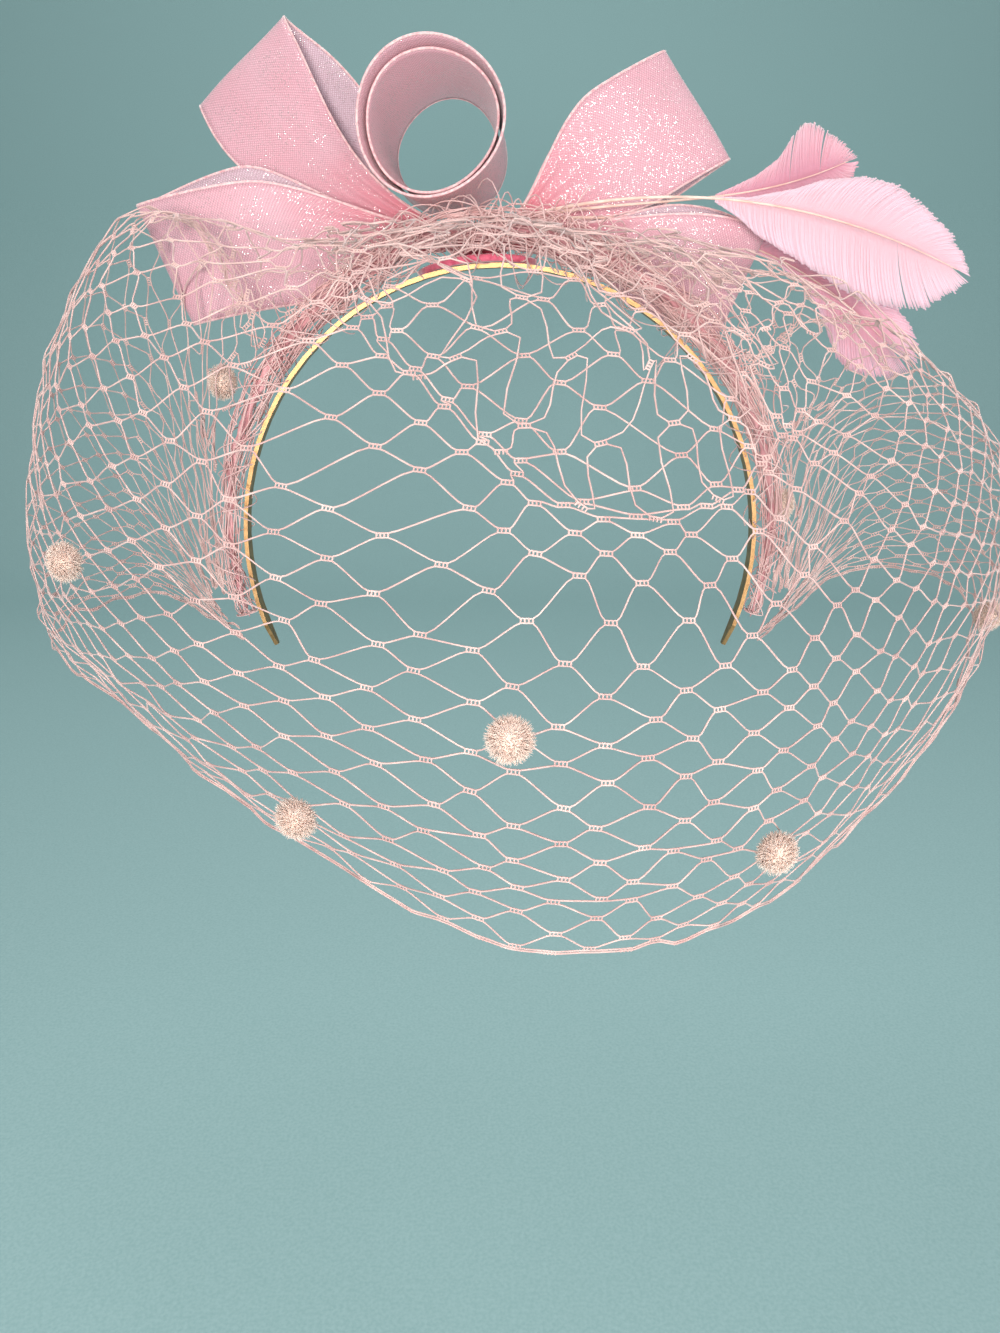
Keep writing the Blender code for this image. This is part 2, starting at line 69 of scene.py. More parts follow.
# band_deg, leave_deg, then crest, belly and hem in shares of half width, reach and drop
VEIL_SECTIONS = [
    (-104, 0, (-0.62, 0.10, -0.56), (-0.66, 0.16, -0.66), (-0.56, 0.10, -0.74)),
    (-80, 0, (-0.70, 0.45, -0.14), (-0.95, 0.50, -0.42), (-0.80, 0.35, -0.69)),
    (-60, 30, (-0.54, 0.00, 0.50), (-1.02, -0.05, -0.28), (-0.91, -0.07, -0.71)),
    (-42, 55, (-0.58, -0.23, 0.40), (-0.95, -0.52, -0.42), (-0.66, -0.38, -0.80)),
    (-24, 75, (-0.33, -0.62, 0.15), (-0.57, -0.91, -0.47), (-0.36, -0.73, -0.89)),
    (-2, 80, (0.00, -0.68, 0.08), (0.01, -1.15, -0.59), (0.01, -1.00, -0.98)),
    (16, 75, (0.27, -0.65, 0.09), (0.48, -1.05, -0.57), (0.33, -0.89, -1.00)),
    (34, 65, (0.50, -0.41, 0.17), (0.80, -0.77, -0.53), (0.60, -0.56, -0.98)),
    (50, 45, (0.60, -0.18, 0.17), (1.07, -0.32, -0.40), (0.87, -0.25, -0.82)),
    (66, 10, (0.68, 0.10, -0.05), (1.23, 0.18, -0.30), (1.01, 0.18, -0.66)),
    (84, -10, (0.72, 0.50, -0.22), (1.02, 0.62, -0.42), (0.84, 0.48, -0.66)),
    (104, 0, (0.62, 0.10, -0.56), (0.66, 0.16, -0.66), (0.56, 0.10, -0.74)),
]

# Thread net: cells along and down the strip, thread and knot sizes
NET_COLUMNS = 36
NET_ROWS = 19
THREAD_RADIUS = 0.00022
KNOT_HALF_LENGTH = 0.00125
KNOT_HALF_HEIGHT = 0.00048
THREAD_STEPS = 5
TANGLE_THREADS = 150
LONG_STRANDS = 80
TANGLE_STEPS = 30
FOLDS = 11
FOLD_STRENGTH = 1.5
FOLD_DEPTH = 0.0050
FOLD_REACH = 0.40
HEM_DROP = 0.00055
HEM_THICKNESS = 1.25
RUNG_STEPS = (-1.0, -0.34, 0.34, 1.0)
RUNG_REACH = 1.15
CORE_STATIONS = 160
CORE_SIDES = 14

# Crease where the front of the net is drawn together, as places along and down the net,
# with the net's rough sizes along and down, how far the crease draws threads in, and the
# least share of its distance that a knot keeps
CREASE = [(0.372, 0.10), (0.395, 0.28), (0.419, 0.37), (0.444, 0.45), (0.468, 0.515), (0.490, 0.537),
          (0.515, 0.535), (0.545, 0.50), (0.575, 0.43)]
NET_SPAN = (0.45, 0.20)
CREASE_REACH = 0.029
CREASE_LEAST = 0.08

# Net folded double above the crease: its cells, its stretch along the net, how far it
# stands off, and how much its knots wander
DOUBLE_COLUMNS = 11
DOUBLE_ROWS = 3
DOUBLE_ENDS = (0.345, 0.640)
DOUBLE_LIFT = 0.0032
DOUBLE_WANDER = 0.006

# Ribbon of the bow
BOW_REACH = 0.100
RIBBON_WIDTH = 0.035
RIBBON_ROOT_WIDTH = 0.007
RIBBON_ROOT_OPENING = 0.0025
RIBBON_SHEET = 0.0005
WEAVE_TURN_DEG = 38.0
WEAVE_SCALE = 17.0
GLITTER_CELLS = 120.0
FLAKE_SIZE = 0.36
PLEAT_DEPTH = 0.0007
SWAY_DEPTH = 0.0006
LOOP_STATIONS = 72
LOOP_STRIPS = 20
SELVAGE_RADIUS = 0.00040
KNOT_HALF_SIZE = Vector((0.0105, 0.0065, 0.0042))
KNOT_PLACE = Vector((-0.006, 0.016, 0.0))

# Loops: name, root in shares of the knot, ends of the fold in shares of the bow's reach,
# opening, bend and the back layer's own bend in shares of the ribbon's width, share of the
# length that is drawn in
LOOPS = [
    ("loop_upper_left", (-0.92, 0.49, 0.30), (-0.825, 0.20, 0.396), (-0.571, 0.20, 0.622),
     0.186, -0.274, 0.34, 0.90),
    ("loop_upper_right", (0.98, 0.54, 0.54), (0.742, 0.16, 0.252), (0.550, 0.16, 0.518),
     0.171, 0.057, -0.05, 0.62),
    ("loop_lower_left", (-1.04, -0.55, 0.18), (-0.853, -0.02, -0.210), (-0.974, -0.02, 0.079),
     0.143, 0.086, 0.16, 0.60),
    ("loop_lower_right", (1.08, -0.55, 0.30), (0.702, 0.00, -0.287), (0.837, 0.00, 0.020),
     0.129, 0.086, 0.10, 0.95),
]

# Curl: its radius, and for the front and back rim the share of it, the place across in
# shares of the bow's reach, back in shares of the width, and up in shares of the knot
CURL_RADIUS = 0.0200
CURL_FRONT = (1.00, -0.127, -0.514, 2.32)
CURL_BACK = (0.86, -0.087, 0.486, 1.92)
CURL_STATIONS = 96
CURL_STRIPS = 18
CURL_LAP_INSET = 0.0016
CURL_LAP_ENDS = (0.10, 0.97)

# Feathers: name, root in shares of the knot, quill points in shares of the reach, start of
# the vane, cup, facing, slot, and the vane's outline on its two sides, as places along the
# vane and out from the quill in shares of the vane's length and of the widest half width
FEATHER_REACH = 0.130
VANE_HALF_WIDTH = 0.0175
FEATHERS = [
    ("feather_upper", (0.505, -0.215, 1.226),
     ((0.356, -0.031, 0.102), (0.587, -0.031, 0.056), (0.825, -0.031, 0.171)),
     0.58, 0.30, (-0.1, -1.0, 0.2), "feather_deep",
     [(0.0, -0.03), (0.30, -0.23), (0.49, -0.43), (0.64, -0.73), (0.76, -0.88), (0.83, -0.84),
      (0.89, -0.58), (0.96, -0.25), (1.00, 0.05)],
     [(0.0, 0.03), (0.16, 0.12), (0.31, 0.27), (0.55, 0.40), (0.76, 0.42), (0.90, 0.32), (1.00, 0.05)]),
    ("feather_large", (0.505, -0.554, 1.107),
     ((0.433, -0.100, 0.140), (0.779, -0.123, 0.063), (1.056, -0.154, -0.083)),
     0.42, 0.15, (-0.2, -1.0, 0.1), "feather_pale",
     [(0.0, -0.02), (0.12, -0.06), (0.27, -0.30), (0.36, -0.53), (0.49, -0.73), (0.60, -0.76),
      (0.72, -0.60), (0.84, -0.42), (0.93, -0.20), (0.99, 0.02)],
     [(0.0, 0.05), (0.10, 0.27), (0.17, 0.46), (0.28, 0.62), (0.41, 0.77), (0.55, 0.91), (0.68, 0.97),
      (0.79, 0.86), (0.90, 0.68), (0.96, 0.32), (0.99, 0.02)]),
    ("feather_lower", (0.505, 0.062, 1.131),
     ((0.395, -0.008, 0.087), (0.741, 0.138, 0.033), (0.987, 0.031, -0.244)),
     0.52, 0.20, (-0.1, -1.0, 0.1), "feather_mid",
     [(0.0, -0.03), (0.20, -0.25), (0.40, -0.48), (0.57, -0.60), (0.85, -0.52), (0.98, -0.43),
      (1.05, -0.25), (1.08, 0.05)],
     [(0.0, 0.03), (0.20, 0.06), (0.43, 0.14), (0.56, 0.29), (0.69, 0.53), (0.79, 0.70), (0.88, 0.75),
      (0.98, 0.58), (1.06, 0.30), (1.08, 0.05)]),
]
BARBS = 170
BARB_STEPS = 7
BARB_HALF_WIDTH = 1.05 / BARBS
PARTING_CHANCE = 0.06
VANE_THICKNESS = 0.00008
QUILL_RADIUS = 0.00055
QUILL_STEPS = 40
QUILL_SIDES = 8

# Dots: place on the net, along and down
DOTS = [(0.295, 0.700), (0.143, 0.095), (0.456, 0.756), (0.388, 0.912),
        (0.556, 0.887), (0.787, 0.963), (0.925, 0.118)]
DOT_RADIUS = 0.0044
DOT_FLATTENING = 0.72
DOT_FIBRES = 1500
FIBRE_LENGTH = 0.0018
FIBRE_RADII = (0.00004, 0.00009)
FIBRE_TILT = 0.45

# Photograph's view: 1000 x 1333 pixels, focal length in pixels, place and tilt of the camera
PHOTO_SIZE = (1000, 1333)
PHOTO_FOCAL = 1001.0
CAMERA_PLACE = (0.0, -0.301, -0.018)
CAMERA_TILT_DEG = 18.3
FLOOR_HEIGHT = -0.292
SWEEP_RADIUS = 0.45


def tone(red, green, blue):
    """Linear colour from the shares of red, green and blue that a screen shows."""
    return tuple(((c + 0.055) / 1.055) ** 2.4 for c in (red, green, blue))


def smooth_step(x):
    """Ease from 0 to 1, for numbers and arrays."""
    x = np.clip(x, 0.0, 1.0)
    return x * x * (3.0 - 2.0 * x)


# Camera, floor and light

def add_camera():
    data = bpy.data.cameras.new("photo_camera")
    data.sensor_width = 36.0
    data.sensor_fit = "AUTO"
    data.lens = PHOTO_FOCAL / max(PHOTO_SIZE) * data.sensor_width
    data.clip_start = 0.01
    camera = bpy.data.objects.new("photo_camera", data)
    camera.location = CAMERA_PLACE
    camera.rotation_euler = (math.radians(90.0 - CAMERA_TILT_DEG), 0.0, 0.0)
    bpy.context.scene.collection.objects.link(camera)
    bpy.context.scene.camera = camera


def add_light(name, place, target, size, power, colour=(1.0, 1.0, 1.0), spread_deg=180.0):
    data = bpy.data.lights.new(name, "AREA")
    data.shape = "DISK"
    data.size = size
    data.energy = power
    data.color = colour
    data.spread = math.radians(spread_deg)
    lamp = bpy.data.objects.new(name, data)
    lamp.location = place
    lamp.rotation_euler = (Vector(target) - Vector(place)).to_track_quat("-Z", "Y").to_euler()
    bpy.context.scene.collection.objects.link(lamp)


def add_studio():
    """Pale floor that curves up behind, with soft light from the camera's side."""
    bm = bmesh.new()
    profile = [(-1.6, FLOOR_HEIGHT)]
    for k in range(13):
        turn = 0.5 * math.pi * k / 12
        profile.append((0.75 + SWEEP_RADIUS * math.sin(turn),
                        FLOOR_HEIGHT + SWEEP_RADIUS * (1.0 - math.cos(turn))))
    profile.append((1.2, 2.2))
    rows = [[bm.verts.new((x, y, z)) for x in (-2.4, 2.4)] for y, z in profile]
    for near, far in zip(rows, rows[1:]):
        bm.faces.new((near[0], near[1], far[1], far[0]))
    floor = bpy.data.objects.new("studio_floor", finished_mesh(bm, "studio_floor"))
    floor.data.materials.append(floor_finish())
    bpy.context.scene.collection.objects.link(floor)
    add_light("key_soft", (-0.08, -0.78, -0.02), (0.0, 0.0, -0.01), 0.22, 1.95, (1.0, 0.98, 0.96), 110.0)
    add_light("low_soft", (0.25, -0.70, -0.16), (0.0, 0.0, 0.03), 0.30, 0.5, spread_deg=110.0)
    add_light("fill_soft", (0.9, -0.6, 0.5), (0.0, 0.0, 0.0), 0.9, 3.2, (0.96, 0.98, 1.0))
    add_light("top_soft", (-0.2, 0.25, 1.1), (0.0, 0.0, 0.0), 0.8, 6.5)
    world = bpy.data.worlds.new("studio_world")
    world.use_nodes = True
    backdrop = world.node_tree.nodes["Background"]
    backdrop.inputs["Color"].default_value = (0.90, 0.93, 0.94, 1.0)
    backdrop.inputs["Strength"].default_value = 0.36
    bpy.context.scene.world = world
    bpy.context.scene.view_settings.view_transform = "Standard"


# Finishes

def new_finish(name):
    """Material and its node tree."""
    material = bpy.data.materials.new(name)
    material.use_nodes = True
    return material, material.node_tree


def end_finish(material, **values):
    """Feeds the shader's inputs, named with _ for a space, and gives the material."""
    tree = material.node_tree
    for key, value in values.items():
        feed(tree, tree.nodes["Principled BSDF"].inputs[key.replace("_", " ")], value)
    return material


def feed(tree, socket, value):
    """Links an input to an output, or to a node's first output, or sets it."""
    if isinstance(value, bpy.types.Node):
        value = value.outputs[0]
    if isinstance(value, bpy.types.NodeSocket):
        tree.links.new(value, socket)
    else:
        socket.default_value = value


def add_node(tree, kind, *inputs, **values):
    """Node with its settings; inputs, in order or named with _ for a space, are fed."""
    node = tree.nodes.new(kind)
    for key, value in values.items():
        if key.replace("_", " ") in node.inputs:
            feed(tree, node.inputs[key.replace("_", " ")], value)
        else:
            setattr(node, key, value)
    for socket, value in zip(node.inputs, inputs):
        feed(tree, socket, value)
    return node


def compute(tree, operation, *inputs):
    """Math node with its inputs fed in order."""
    return add_node(tree, "ShaderNodeMath", *inputs, operation=operation)


def compute_vector(tree, operation, *inputs, **values):
    """Vector math node with its inputs fed in order or by name."""
    return add_node(tree, "ShaderNodeVectorMath", *inputs, operation=operation, **values)


def map_range(tree, value, start, end):
    """Value moved from one pair of ends to another, and kept between them."""
    return add_node(tree, "ShaderNodeMapRange", Value=value, From_Min=start[0], From_Max=start[1],
                    To_Min=end[0], To_Max=end[1])


def object_noise(tree, scale, detail):
    """Noise on the piece's own coordinates."""
    place = tree.nodes.new("ShaderNodeTexCoord").outputs["Object"]
    return add_node(tree, "ShaderNodeTexNoise", Vector=place, Scale=scale, Detail=detail)


def colour_ramp(tree, factor, stops):
    """Colour along a ramp of (place, colour) stops."""
    ramp = add_node(tree, "ShaderNodeValToRGB", Fac=factor)
    while len(ramp.color_ramp.elements) < len(stops):
        ramp.color_ramp.elements.new(0.5)
    for element, (place, colour) in zip(ramp.color_ramp.elements, stops):
        element.position = place
        element.color = (*colour, 1.0)
    return ramp


def floor_finish():
    material, tree = new_finish("pale_floor")
    colour = colour_ramp(tree, object_noise(tree, 900.0, 3.0),
                         [(0.3, tone(0.60, 0.74, 0.74)), (0.7, tone(0.65, 0.78, 0.78))])
    return end_finish(material, Base_Color=colour, Roughness=0.85)


def thread_finish(name, dark, light, scale=160.0, sheen=0.4):
    """Twisted thread: tone that drifts along it."""
    material, tree = new_finish(name)
    colour = colour_ramp(tree, object_noise(tree, scale, 2.0), [(0.32, dark), (0.68, light)])
    twist = add_node(tree, "ShaderNodeBump", Height=object_noise(tree, 3800.0, 1.0),
                     Strength=0.35, Distance=0.0001)
    return end_finish(material, Base_Color=colour, Normal=twist, Roughness=0.5,
                      Sheen_Weight=sheen)


def ribbon_finish(name, pale, deep, glitter=0.18):
    """Woven crin: fine diagonal weave on the ribbon's own UVs, sparkle, painted shade at the root.

    UV x runs along the ribbon and y across it, x in ribbon widths; a vertex attribute of painted
    shade is 1 at the knot, where the ribbon is drawn in, deepening the colour and adding sparkle.
    """
    material, tree = new_finish(name)
    uv = add_node(tree, "ShaderNodeUVMap", uv_map="weave")
    painted_shade_fac = add_node(tree, "ShaderNodeAttribute", attribute_name="painted_shade").outputs["Fac"]
    shade = add_node(tree, "ShaderNodeTexNoise", Vector=uv, Scale=2.2, Detail=2.0)
    # painted shade: the colour runs from pale to deep as the shade attribute rises towards the knot, with a
    # little random tone
    base = colour_ramp(tree, compute(tree, "MULTIPLY_ADD", shade, 0.35, painted_shade_fac), [(0.10, pale), (0.95, deep)])

    waves = []
    for turn in (WEAVE_TURN_DEG, -WEAVE_TURN_DEG):
        turned = add_node(tree, "ShaderNodeMapping", Vector=uv, Rotation=(0.0, 0.0, math.radians(turn)))
        wave = add_node(tree, "ShaderNodeTexWave", Vector=turned, Scale=WEAVE_SCALE,
                        Distortion=0.6, Detail=1.0, Detail_Scale=4.0)
        waves.append(wave.outputs["Fac"])
    weave = compute(tree, "MULTIPLY", *waves)
    crossing = colour_ramp(tree, weave, [(0.0, tone(0.80, 0.66, 0.70)), (0.5, (1.0, 1.0, 1.0))])
    woven = add_node(tree, "ShaderNodeMixRGB", blend_type="MULTIPLY", Fac=0.6, Color1=base, Color2=crossing)

    cells = add_node(tree, "ShaderNodeTexVoronoi", Vector=uv, Scale=GLITTER_CELLS, Randomness=1.0)
    near = compute(tree, "LESS_THAN", cells, FLAKE_SIZE)
    patch = add_node(tree, "ShaderNodeTexNoise", Vector=uv, Scale=3.4, Detail=1.0)
    amount = map_range(tree, patch, (0.38, 0.66), (0.9 * glitter, 3.0 * glitter))
    # more sparkle where the painted shade is, towards the knot
    amount = compute(tree, "MULTIPLY_ADD", painted_shade_fac, 0.5, amount)
    draw_of_cell = add_node(tree, "ShaderNodeSeparateColor", Color=cells.outputs["Color"])
    spark = compute(tree, "MULTIPLY", near, compute(tree, "LESS_THAN", draw_of_cell, amount))
    final = add_node(tree, "ShaderNodeMixRGB", Fac=spark, Color1=woven,
                     Color2=(*tone(1.0, 0.93, 0.91), 1.0))

    bump = add_node(tree, "ShaderNodeBump", Height=weave, Strength=0.5, Distance=0.00012)
    centred = compute_vector(tree, "SUBTRACT", cells.outputs["Color"], (0.5, 0.5, 0.5))
    tilt = compute_vector(tree, "SCALE", centred, Scale=compute(tree, "MULTIPLY", spark, 0.5))
    lean = compute_vector(tree, "ADD", bump, tilt)
    return end_finish(material, Base_Color=final,
                      Roughness=map_range(tree, spark, (0.0, 1.0), (0.50, 0.24)),
                      Metallic=compute(tree, "MULTIPLY", spark, 0.9),
                      Normal=compute_vector(tree, "NORMALIZE", lean), Sheen_Weight=0.35)


def feather_finish(name, base, tip):
    """Vane that pales towards its edge, with fine barb streaks."""
    material, tree = new_finish(name)
    uv = add_node(tree, "ShaderNodeUVMap", uv_map="vane")
    outward = add_node(tree, "ShaderNodeSeparateXYZ", Vector=uv).outputs["Y"]
    stretch = add_node(tree, "ShaderNodeMapping", Vector=uv, Scale=(240.0, 3.0, 1.0))
    streak = add_node(tree, "ShaderNodeTexNoise", Vector=stretch, Scale=1.0, Detail=3.0)
    mixed = compute(tree, "MULTIPLY_ADD", streak, 0.35, outward)
    return end_finish(material, Base_Color=colour_ramp(tree, mixed, [(0.15, base), (0.95, tip)]),
                      Roughness=0.62, Sheen_Weight=0.5, Subsurface_Weight=0.2,
                      Subsurface_Radius=(0.003, 0.0015, 0.0015))


def fuzz_finish(name, dark, light):
    """Felt or chenille: matt, mottled at fibre scale."""
    material, tree = new_finish(name)
    fleck = object_noise(tree, 700.0, 4.0)
    bump = add_node(tree, "ShaderNodeBump", Height=fleck, Strength=0.6, Distance=0.0003)
    return end_finish(material, Base_Color=colour_ramp(tree, fleck, [(0.3, dark), (0.7, light)]),
                      Normal=bump, Roughness=0.95, Sheen_Weight=0.8)


def gold_finish():
    """Gold-tone metal, a little worn."""
    material, tree = new_finish("gold_metal")
    wear = object_noise(tree, 420.0, 4.0)
    stops = [(0.3, tone(0.60, 0.45, 0.30)), (0.7, tone(0.76, 0.60, 0.42))]
    return end_finish(material, Base_Color=colour_ramp(tree, wear, stops),
                      Roughness=map_range(tree, wear, (0.0, 1.0), (0.34, 0.52)), Metallic=1.0)


# Making and joining pieces

def place_piece(name, mesh, finish, slot, *nodes):
    """Object for a finished mesh that stands for CAD nodes and rides with the whole part."""
    piece = bpy.data.objects.new(name, mesh)
    bpy.context.scene.collection.objects.link(piece)
    mesh.materials.clear()
    mesh.materials.append(finish)
    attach(piece, "root")
    if nodes:
        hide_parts(*nodes)
    return piece


def finished_mesh(bm, name):
    """Smooth mesh of what bm holds, and bm is freed."""
    mesh = bpy.data.meshes.new(name)
    bm.to_mesh(mesh)
    bm.free()
    mesh.shade_smooth()
    return mesh


def join_rings(bm, rings):
    """Faces between closed rings of vertices."""
    sides = len(rings[0])
    for near, far in zip(rings, rings[1:]):
        for k in range(sides):
            bm.faces.new((near[k], near[(k + 1) % sides], far[(k + 1) % sides], far[k]))


def tube_mesh(bm, name, rings):
    """Closed tube through rings of vertices."""
    join_rings(bm, rings)
    bm.faces.new(rings[0])
    bm.faces.new(reversed(rings[-1]))
    bmesh.ops.recalc_face_normals(bm, faces=bm.faces)
    return finished_mesh(bm, name)


def add_wall(piece, thickness, inner_slot=0):
    """Gives an open surface its thickness."""
    wall = piece.modifiers.new("wall", "SOLIDIFY")
    wall.thickness = thickness
    wall.offset = 0.0
    wall.material_offset = inner_slot


def baked_mesh(carrier, name):
    """Plain mesh of an object with its modifiers, which is then removed."""
    bpy.context.view_layer.update()
    evaluated = carrier.evaluated_get(bpy.context.evaluated_depsgraph_get())
    mesh = bpy.data.meshes.new_from_object(evaluated)
    mesh.name = name
    old = carrier.data
    bpy.data.objects.remove(carrier)
    bpy.data.meshes.remove(old)
    return mesh


def carrier_object(name, points, edges, attributes):
    """Bare mesh of points and edges with named attributes, for a node tree to build on."""
    mesh = bpy.data.meshes.new(name)
    mesh.from_pydata([tuple(p) for p in points], [tuple(e) for e in edges], [])
    for key, (kind, values) in attributes.items():
        layer = mesh.attributes.new(key, kind, "POINT")
        field = "vector" if kind == "FLOAT_VECTOR" else "value"
        layer.data.foreach_set(field, np.asarray(values, np.float32).ravel())
    carrier = bpy.data.objects.new(name, mesh)
    bpy.context.scene.collection.objects.link(carrier)
    return carrier


def new_tree(name, inputs=()):
    """Geometry node tree with named inputs and its ends."""
    tree = bpy.data.node_groups.new(name, "GeometryNodeTree")
    tree.interface.new_socket("Geometry", in_out="INPUT", socket_type="NodeSocketGeometry")
    tree.interface.new_socket("Geometry", in_out="OUTPUT", socket_type="NodeSocketGeometry")
    for label, kind, default in inputs:
        socket = tree.interface.new_socket(label, in_out="INPUT", socket_type=kind)
        if default is not None:
            socket.default_value = default
    return tree, tree.nodes.new("NodeGroupInput"), tree.nodes.new("NodeGroupOutput")


def end_tree(tree, geometry, finish, out):
    """Realizes instances and sets the material at the tree's end."""
    real = add_node(tree, "GeometryNodeRealizeInstances", Geometry=geometry)
    dress = add_node(tree, "GeometryNodeSetMaterial", Geometry=real, Material=finish)
    tree.links.new(dress.outputs["Geometry"], out.inputs["Geometry"])


def run_tree(carrier, tree, values):
    """Adds the tree to the carrier with its inputs set by identifier."""
    modifier = carrier.modifiers.new(tree.name, "NODES")
    modifier.node_group = tree
    for item in tree.interface.items_tree:
        if item.item_type == "SOCKET" and item.in_out == "INPUT" and item.name in values:
            modifier[item.identifier] = values[item.name]


def thread_tree():
    """Round thread along every edge path, its radius scaled by the attribute thick."""
    tree, start, out = new_tree("thread_along_paths", [
        ("Thread radius", "NodeSocketFloat", THREAD_RADIUS),
        ("Sides", "NodeSocketInt", 4),
        ("Finish", "NodeSocketMaterial", None),
    ])
    thick = add_node(tree, "GeometryNodeInputNamedAttribute", data_type="FLOAT", Name="thick")
    path = add_node(tree, "GeometryNodeMeshToCurve", Mesh=start.outputs["Geometry"])
    path = add_node(tree, "GeometryNodeSetCurveRadius", Curve=path, Radius=thick)
    ring = add_node(tree, "GeometryNodeCurvePrimitiveCircle", Radius=start.outputs["Thread radius"],
                    Resolution=start.outputs["Sides"])
    sweep = add_node(tree, "GeometryNodeCurveToMesh", Curve=path, Profile_Curve=ring, Fill_Caps=True)
    if "Scale" in sweep.inputs:
        feed(tree, sweep.inputs["Scale"], thick)
    end_tree(tree, sweep, start.outputs["Finish"], out)
    return tree


def threads_from_paths(name, paths, finish, radius, sides=4, thick=None):
    """Mesh of round threads along a list of point arrays."""
    points, edges, scale = [], [], []
    for k, path in enumerate(paths):
        base = len(points)
        points.extend(path)
        edges.extend((base + i, base + i + 1) for i in range(len(path) - 1))
        scale.extend([1.0 if thick is None else thick[k]] * len(path))
    carrier = carrier_object(name, points, edges, {"thick": ("FLOAT", scale)})
    run_tree(carrier, THREADS, {"Thread radius": radius, "Sides": sides, "Finish": finish})
    mesh = baked_mesh(carrier, name)
    mesh.shade_smooth()
    return mesh


# Surface of the net bag

def band_outward(angle):
    """Direction out of the headband at an angle from the crown."""
    outward = np.array((math.sin(angle) / BAND_HALF_WIDTH, 0.0, math.cos(angle) / BAND_HALF_HEIGHT))
    return outward / np.linalg.norm(outward)


def over_band(angle, lift, y=0.0):
    """Point over the underside of the headband, at an angle from the crown."""
    return ((BAND_HALF_WIDTH + lift) * math.sin(angle), y,
            (BAND_HALF_HEIGHT + lift) * math.cos(angle) - BAND_HALF_HEIGHT)


def roll_radius(angle):
    share = min(abs(angle) / math.radians(ROLL_END_DEG), 1.0)
    return ROLL_END_RADIUS + (ROLL_CROWN_RADIUS - ROLL_END_RADIUS) * math.cos(0.5 * math.pi * share)


def roll_centre(angle):
    """Middle of the bunched roll at an angle from the crown."""
    reach = roll_radius(angle) + ROLL_RIB_DEPTH
    beyond = (abs(BAND_HALF_WIDTH * math.sin(angle) - FELT_CENTRE[0]) - FELT_HALF_LENGTH)
    over_felt = (FELT_THICKNESS + CLEARANCE) * (1.0 - smooth_step(beyond / (0.4 * FELT_HALF_LENGTH)))
    centre = np.array(over_band(angle, BAND_THICKNESS + CLEARANCE + over_felt))
    centre = centre + band_outward(angle) * reach
    centre[1] = -ROLL_FORWARD * reach
    return centre


def round_roll(angle, radius, turn):
    """Point round the roll's middle at a radius and a turn."""
    return (roll_centre(angle) + band_outward(angle) * radius * math.cos(turn)
            + np.array((0.0, -radius * math.sin(turn), 0.0)))


def section_controls():
    """Control points of every section, roll to hem."""
    size = np.array((VEIL_HALF_WIDTH, VEIL_REACH, VEIL_DROP))
    rows = []
    for band_deg, leave_deg, crest, belly, hem in VEIL_SECTIONS:
        angle, leave = math.radians(band_deg), math.radians(leave_deg)
        way = band_outward(angle) * math.cos(leave) + np.array((0.0, -math.sin(leave), 0.0))
        stand_off = roll_radius(angle) + ROLL_RIB_DEPTH + CLEARANCE + 0.5 * LATTICE_THICKNESS
        root = roll_centre(angle) + way * stand_off
        rows.append([root] + [np.array(shares) * size for shares in (crest, belly, hem)])
    return np.array(rows)


CONTROLS = section_controls()


def cubic_weights(t):
    s = 1.0 - t
    return np.stack([s ** 3, 3.0 * s * s * t, 3.0 * s * t * t, t ** 3], -1)


def veil_points(along, down):
    """Points of the net bag for arrays of shares along the strip and down from the root."""
    along = np.clip(np.asarray(along, float), 0.0, 1.0)
    down = np.asarray(down, float)
    count = len(CONTROLS)
    place = along * (count - 1)
    row = np.minimum(place.astype(int), count - 2)
    f = (place - row)[:, None, None]
    a, b, c, d = (CONTROLS[np.clip(row + step, 0, count - 1)] for step in (-1, 0, 1, 2))
    curve = 0.5 * (2.0 * b + (c - a) * f + (2.0 * a - 5.0 * b + 4.0 * c - d) * f ** 2
                   + (3.0 * b - a - 3.0 * c + d) * f ** 3)
    marks = np.einsum("kj,njc->nkc", cubic_weights(np.linspace(0.0, 1.0, CURVE_MARKS + 1)), curve)
    lengths = np.linalg.norm(np.diff(marks, axis=1), axis=2)
    passed = np.concatenate([np.zeros((len(along), 1)), np.cumsum(lengths, axis=1)], axis=1)
    wanted = down * passed[:, -1]
    k = np.clip((passed[:, 1:] < wanted[:, None]).sum(1), 0, CURVE_MARKS - 1)
    index = np.arange(len(along))
    t = (k + (wanted - passed[index, k]) / lengths[index, k]) / CURVE_MARKS
    return np.einsum("nj,njc->nc", cubic_weights(t), curve)


def veil_frames(along, down):
    """Points with unit directions along the strip and out of the bag."""
    step = 0.006
    here = veil_points(along, down)
    across = veil_points(along + step, down) - veil_points(along - step, down)
    downward = veil_points(along, np.minimum(down + step, 1.0))
    downward -= veil_points(along, np.maximum(down - step, 0.0))
    across /= np.linalg.norm(across, axis=1)[:, None]
    outward = np.cross(downward, across)
    outward /= np.linalg.norm(outward, axis=1)[:, None]
    return here, across, outward


# Net of threads

def drawn_to_crease(along, down):
    """Moves the knots near the crease towards it, so that their threads bunch there."""
    span = np.array(NET_SPAN)
    line = np.array(CREASE) * span
    places = np.stack([along, down], -1) * span
    best = np.full(len(places), 1e9)
    nearest = places.copy()
    for start, end in zip(line, line[1:]):
        way = end - start
        share = np.clip((places - start) @ way / (way @ way), 0.0, 1.0)
        foot = start + share[:, None] * way
        distance = np.linalg.norm(places - foot, axis=1)
        closer = distance < best
        best = np.where(closer, distance, best)
        nearest = np.where(closer[:, None], foot, nearest)
    keep = np.clip(best / CREASE_REACH, CREASE_LEAST, 1.0)
    places = nearest + (places - nearest) * keep[:, None]
    return places[:, 0] / span[0], places[:, 1] / span[1]


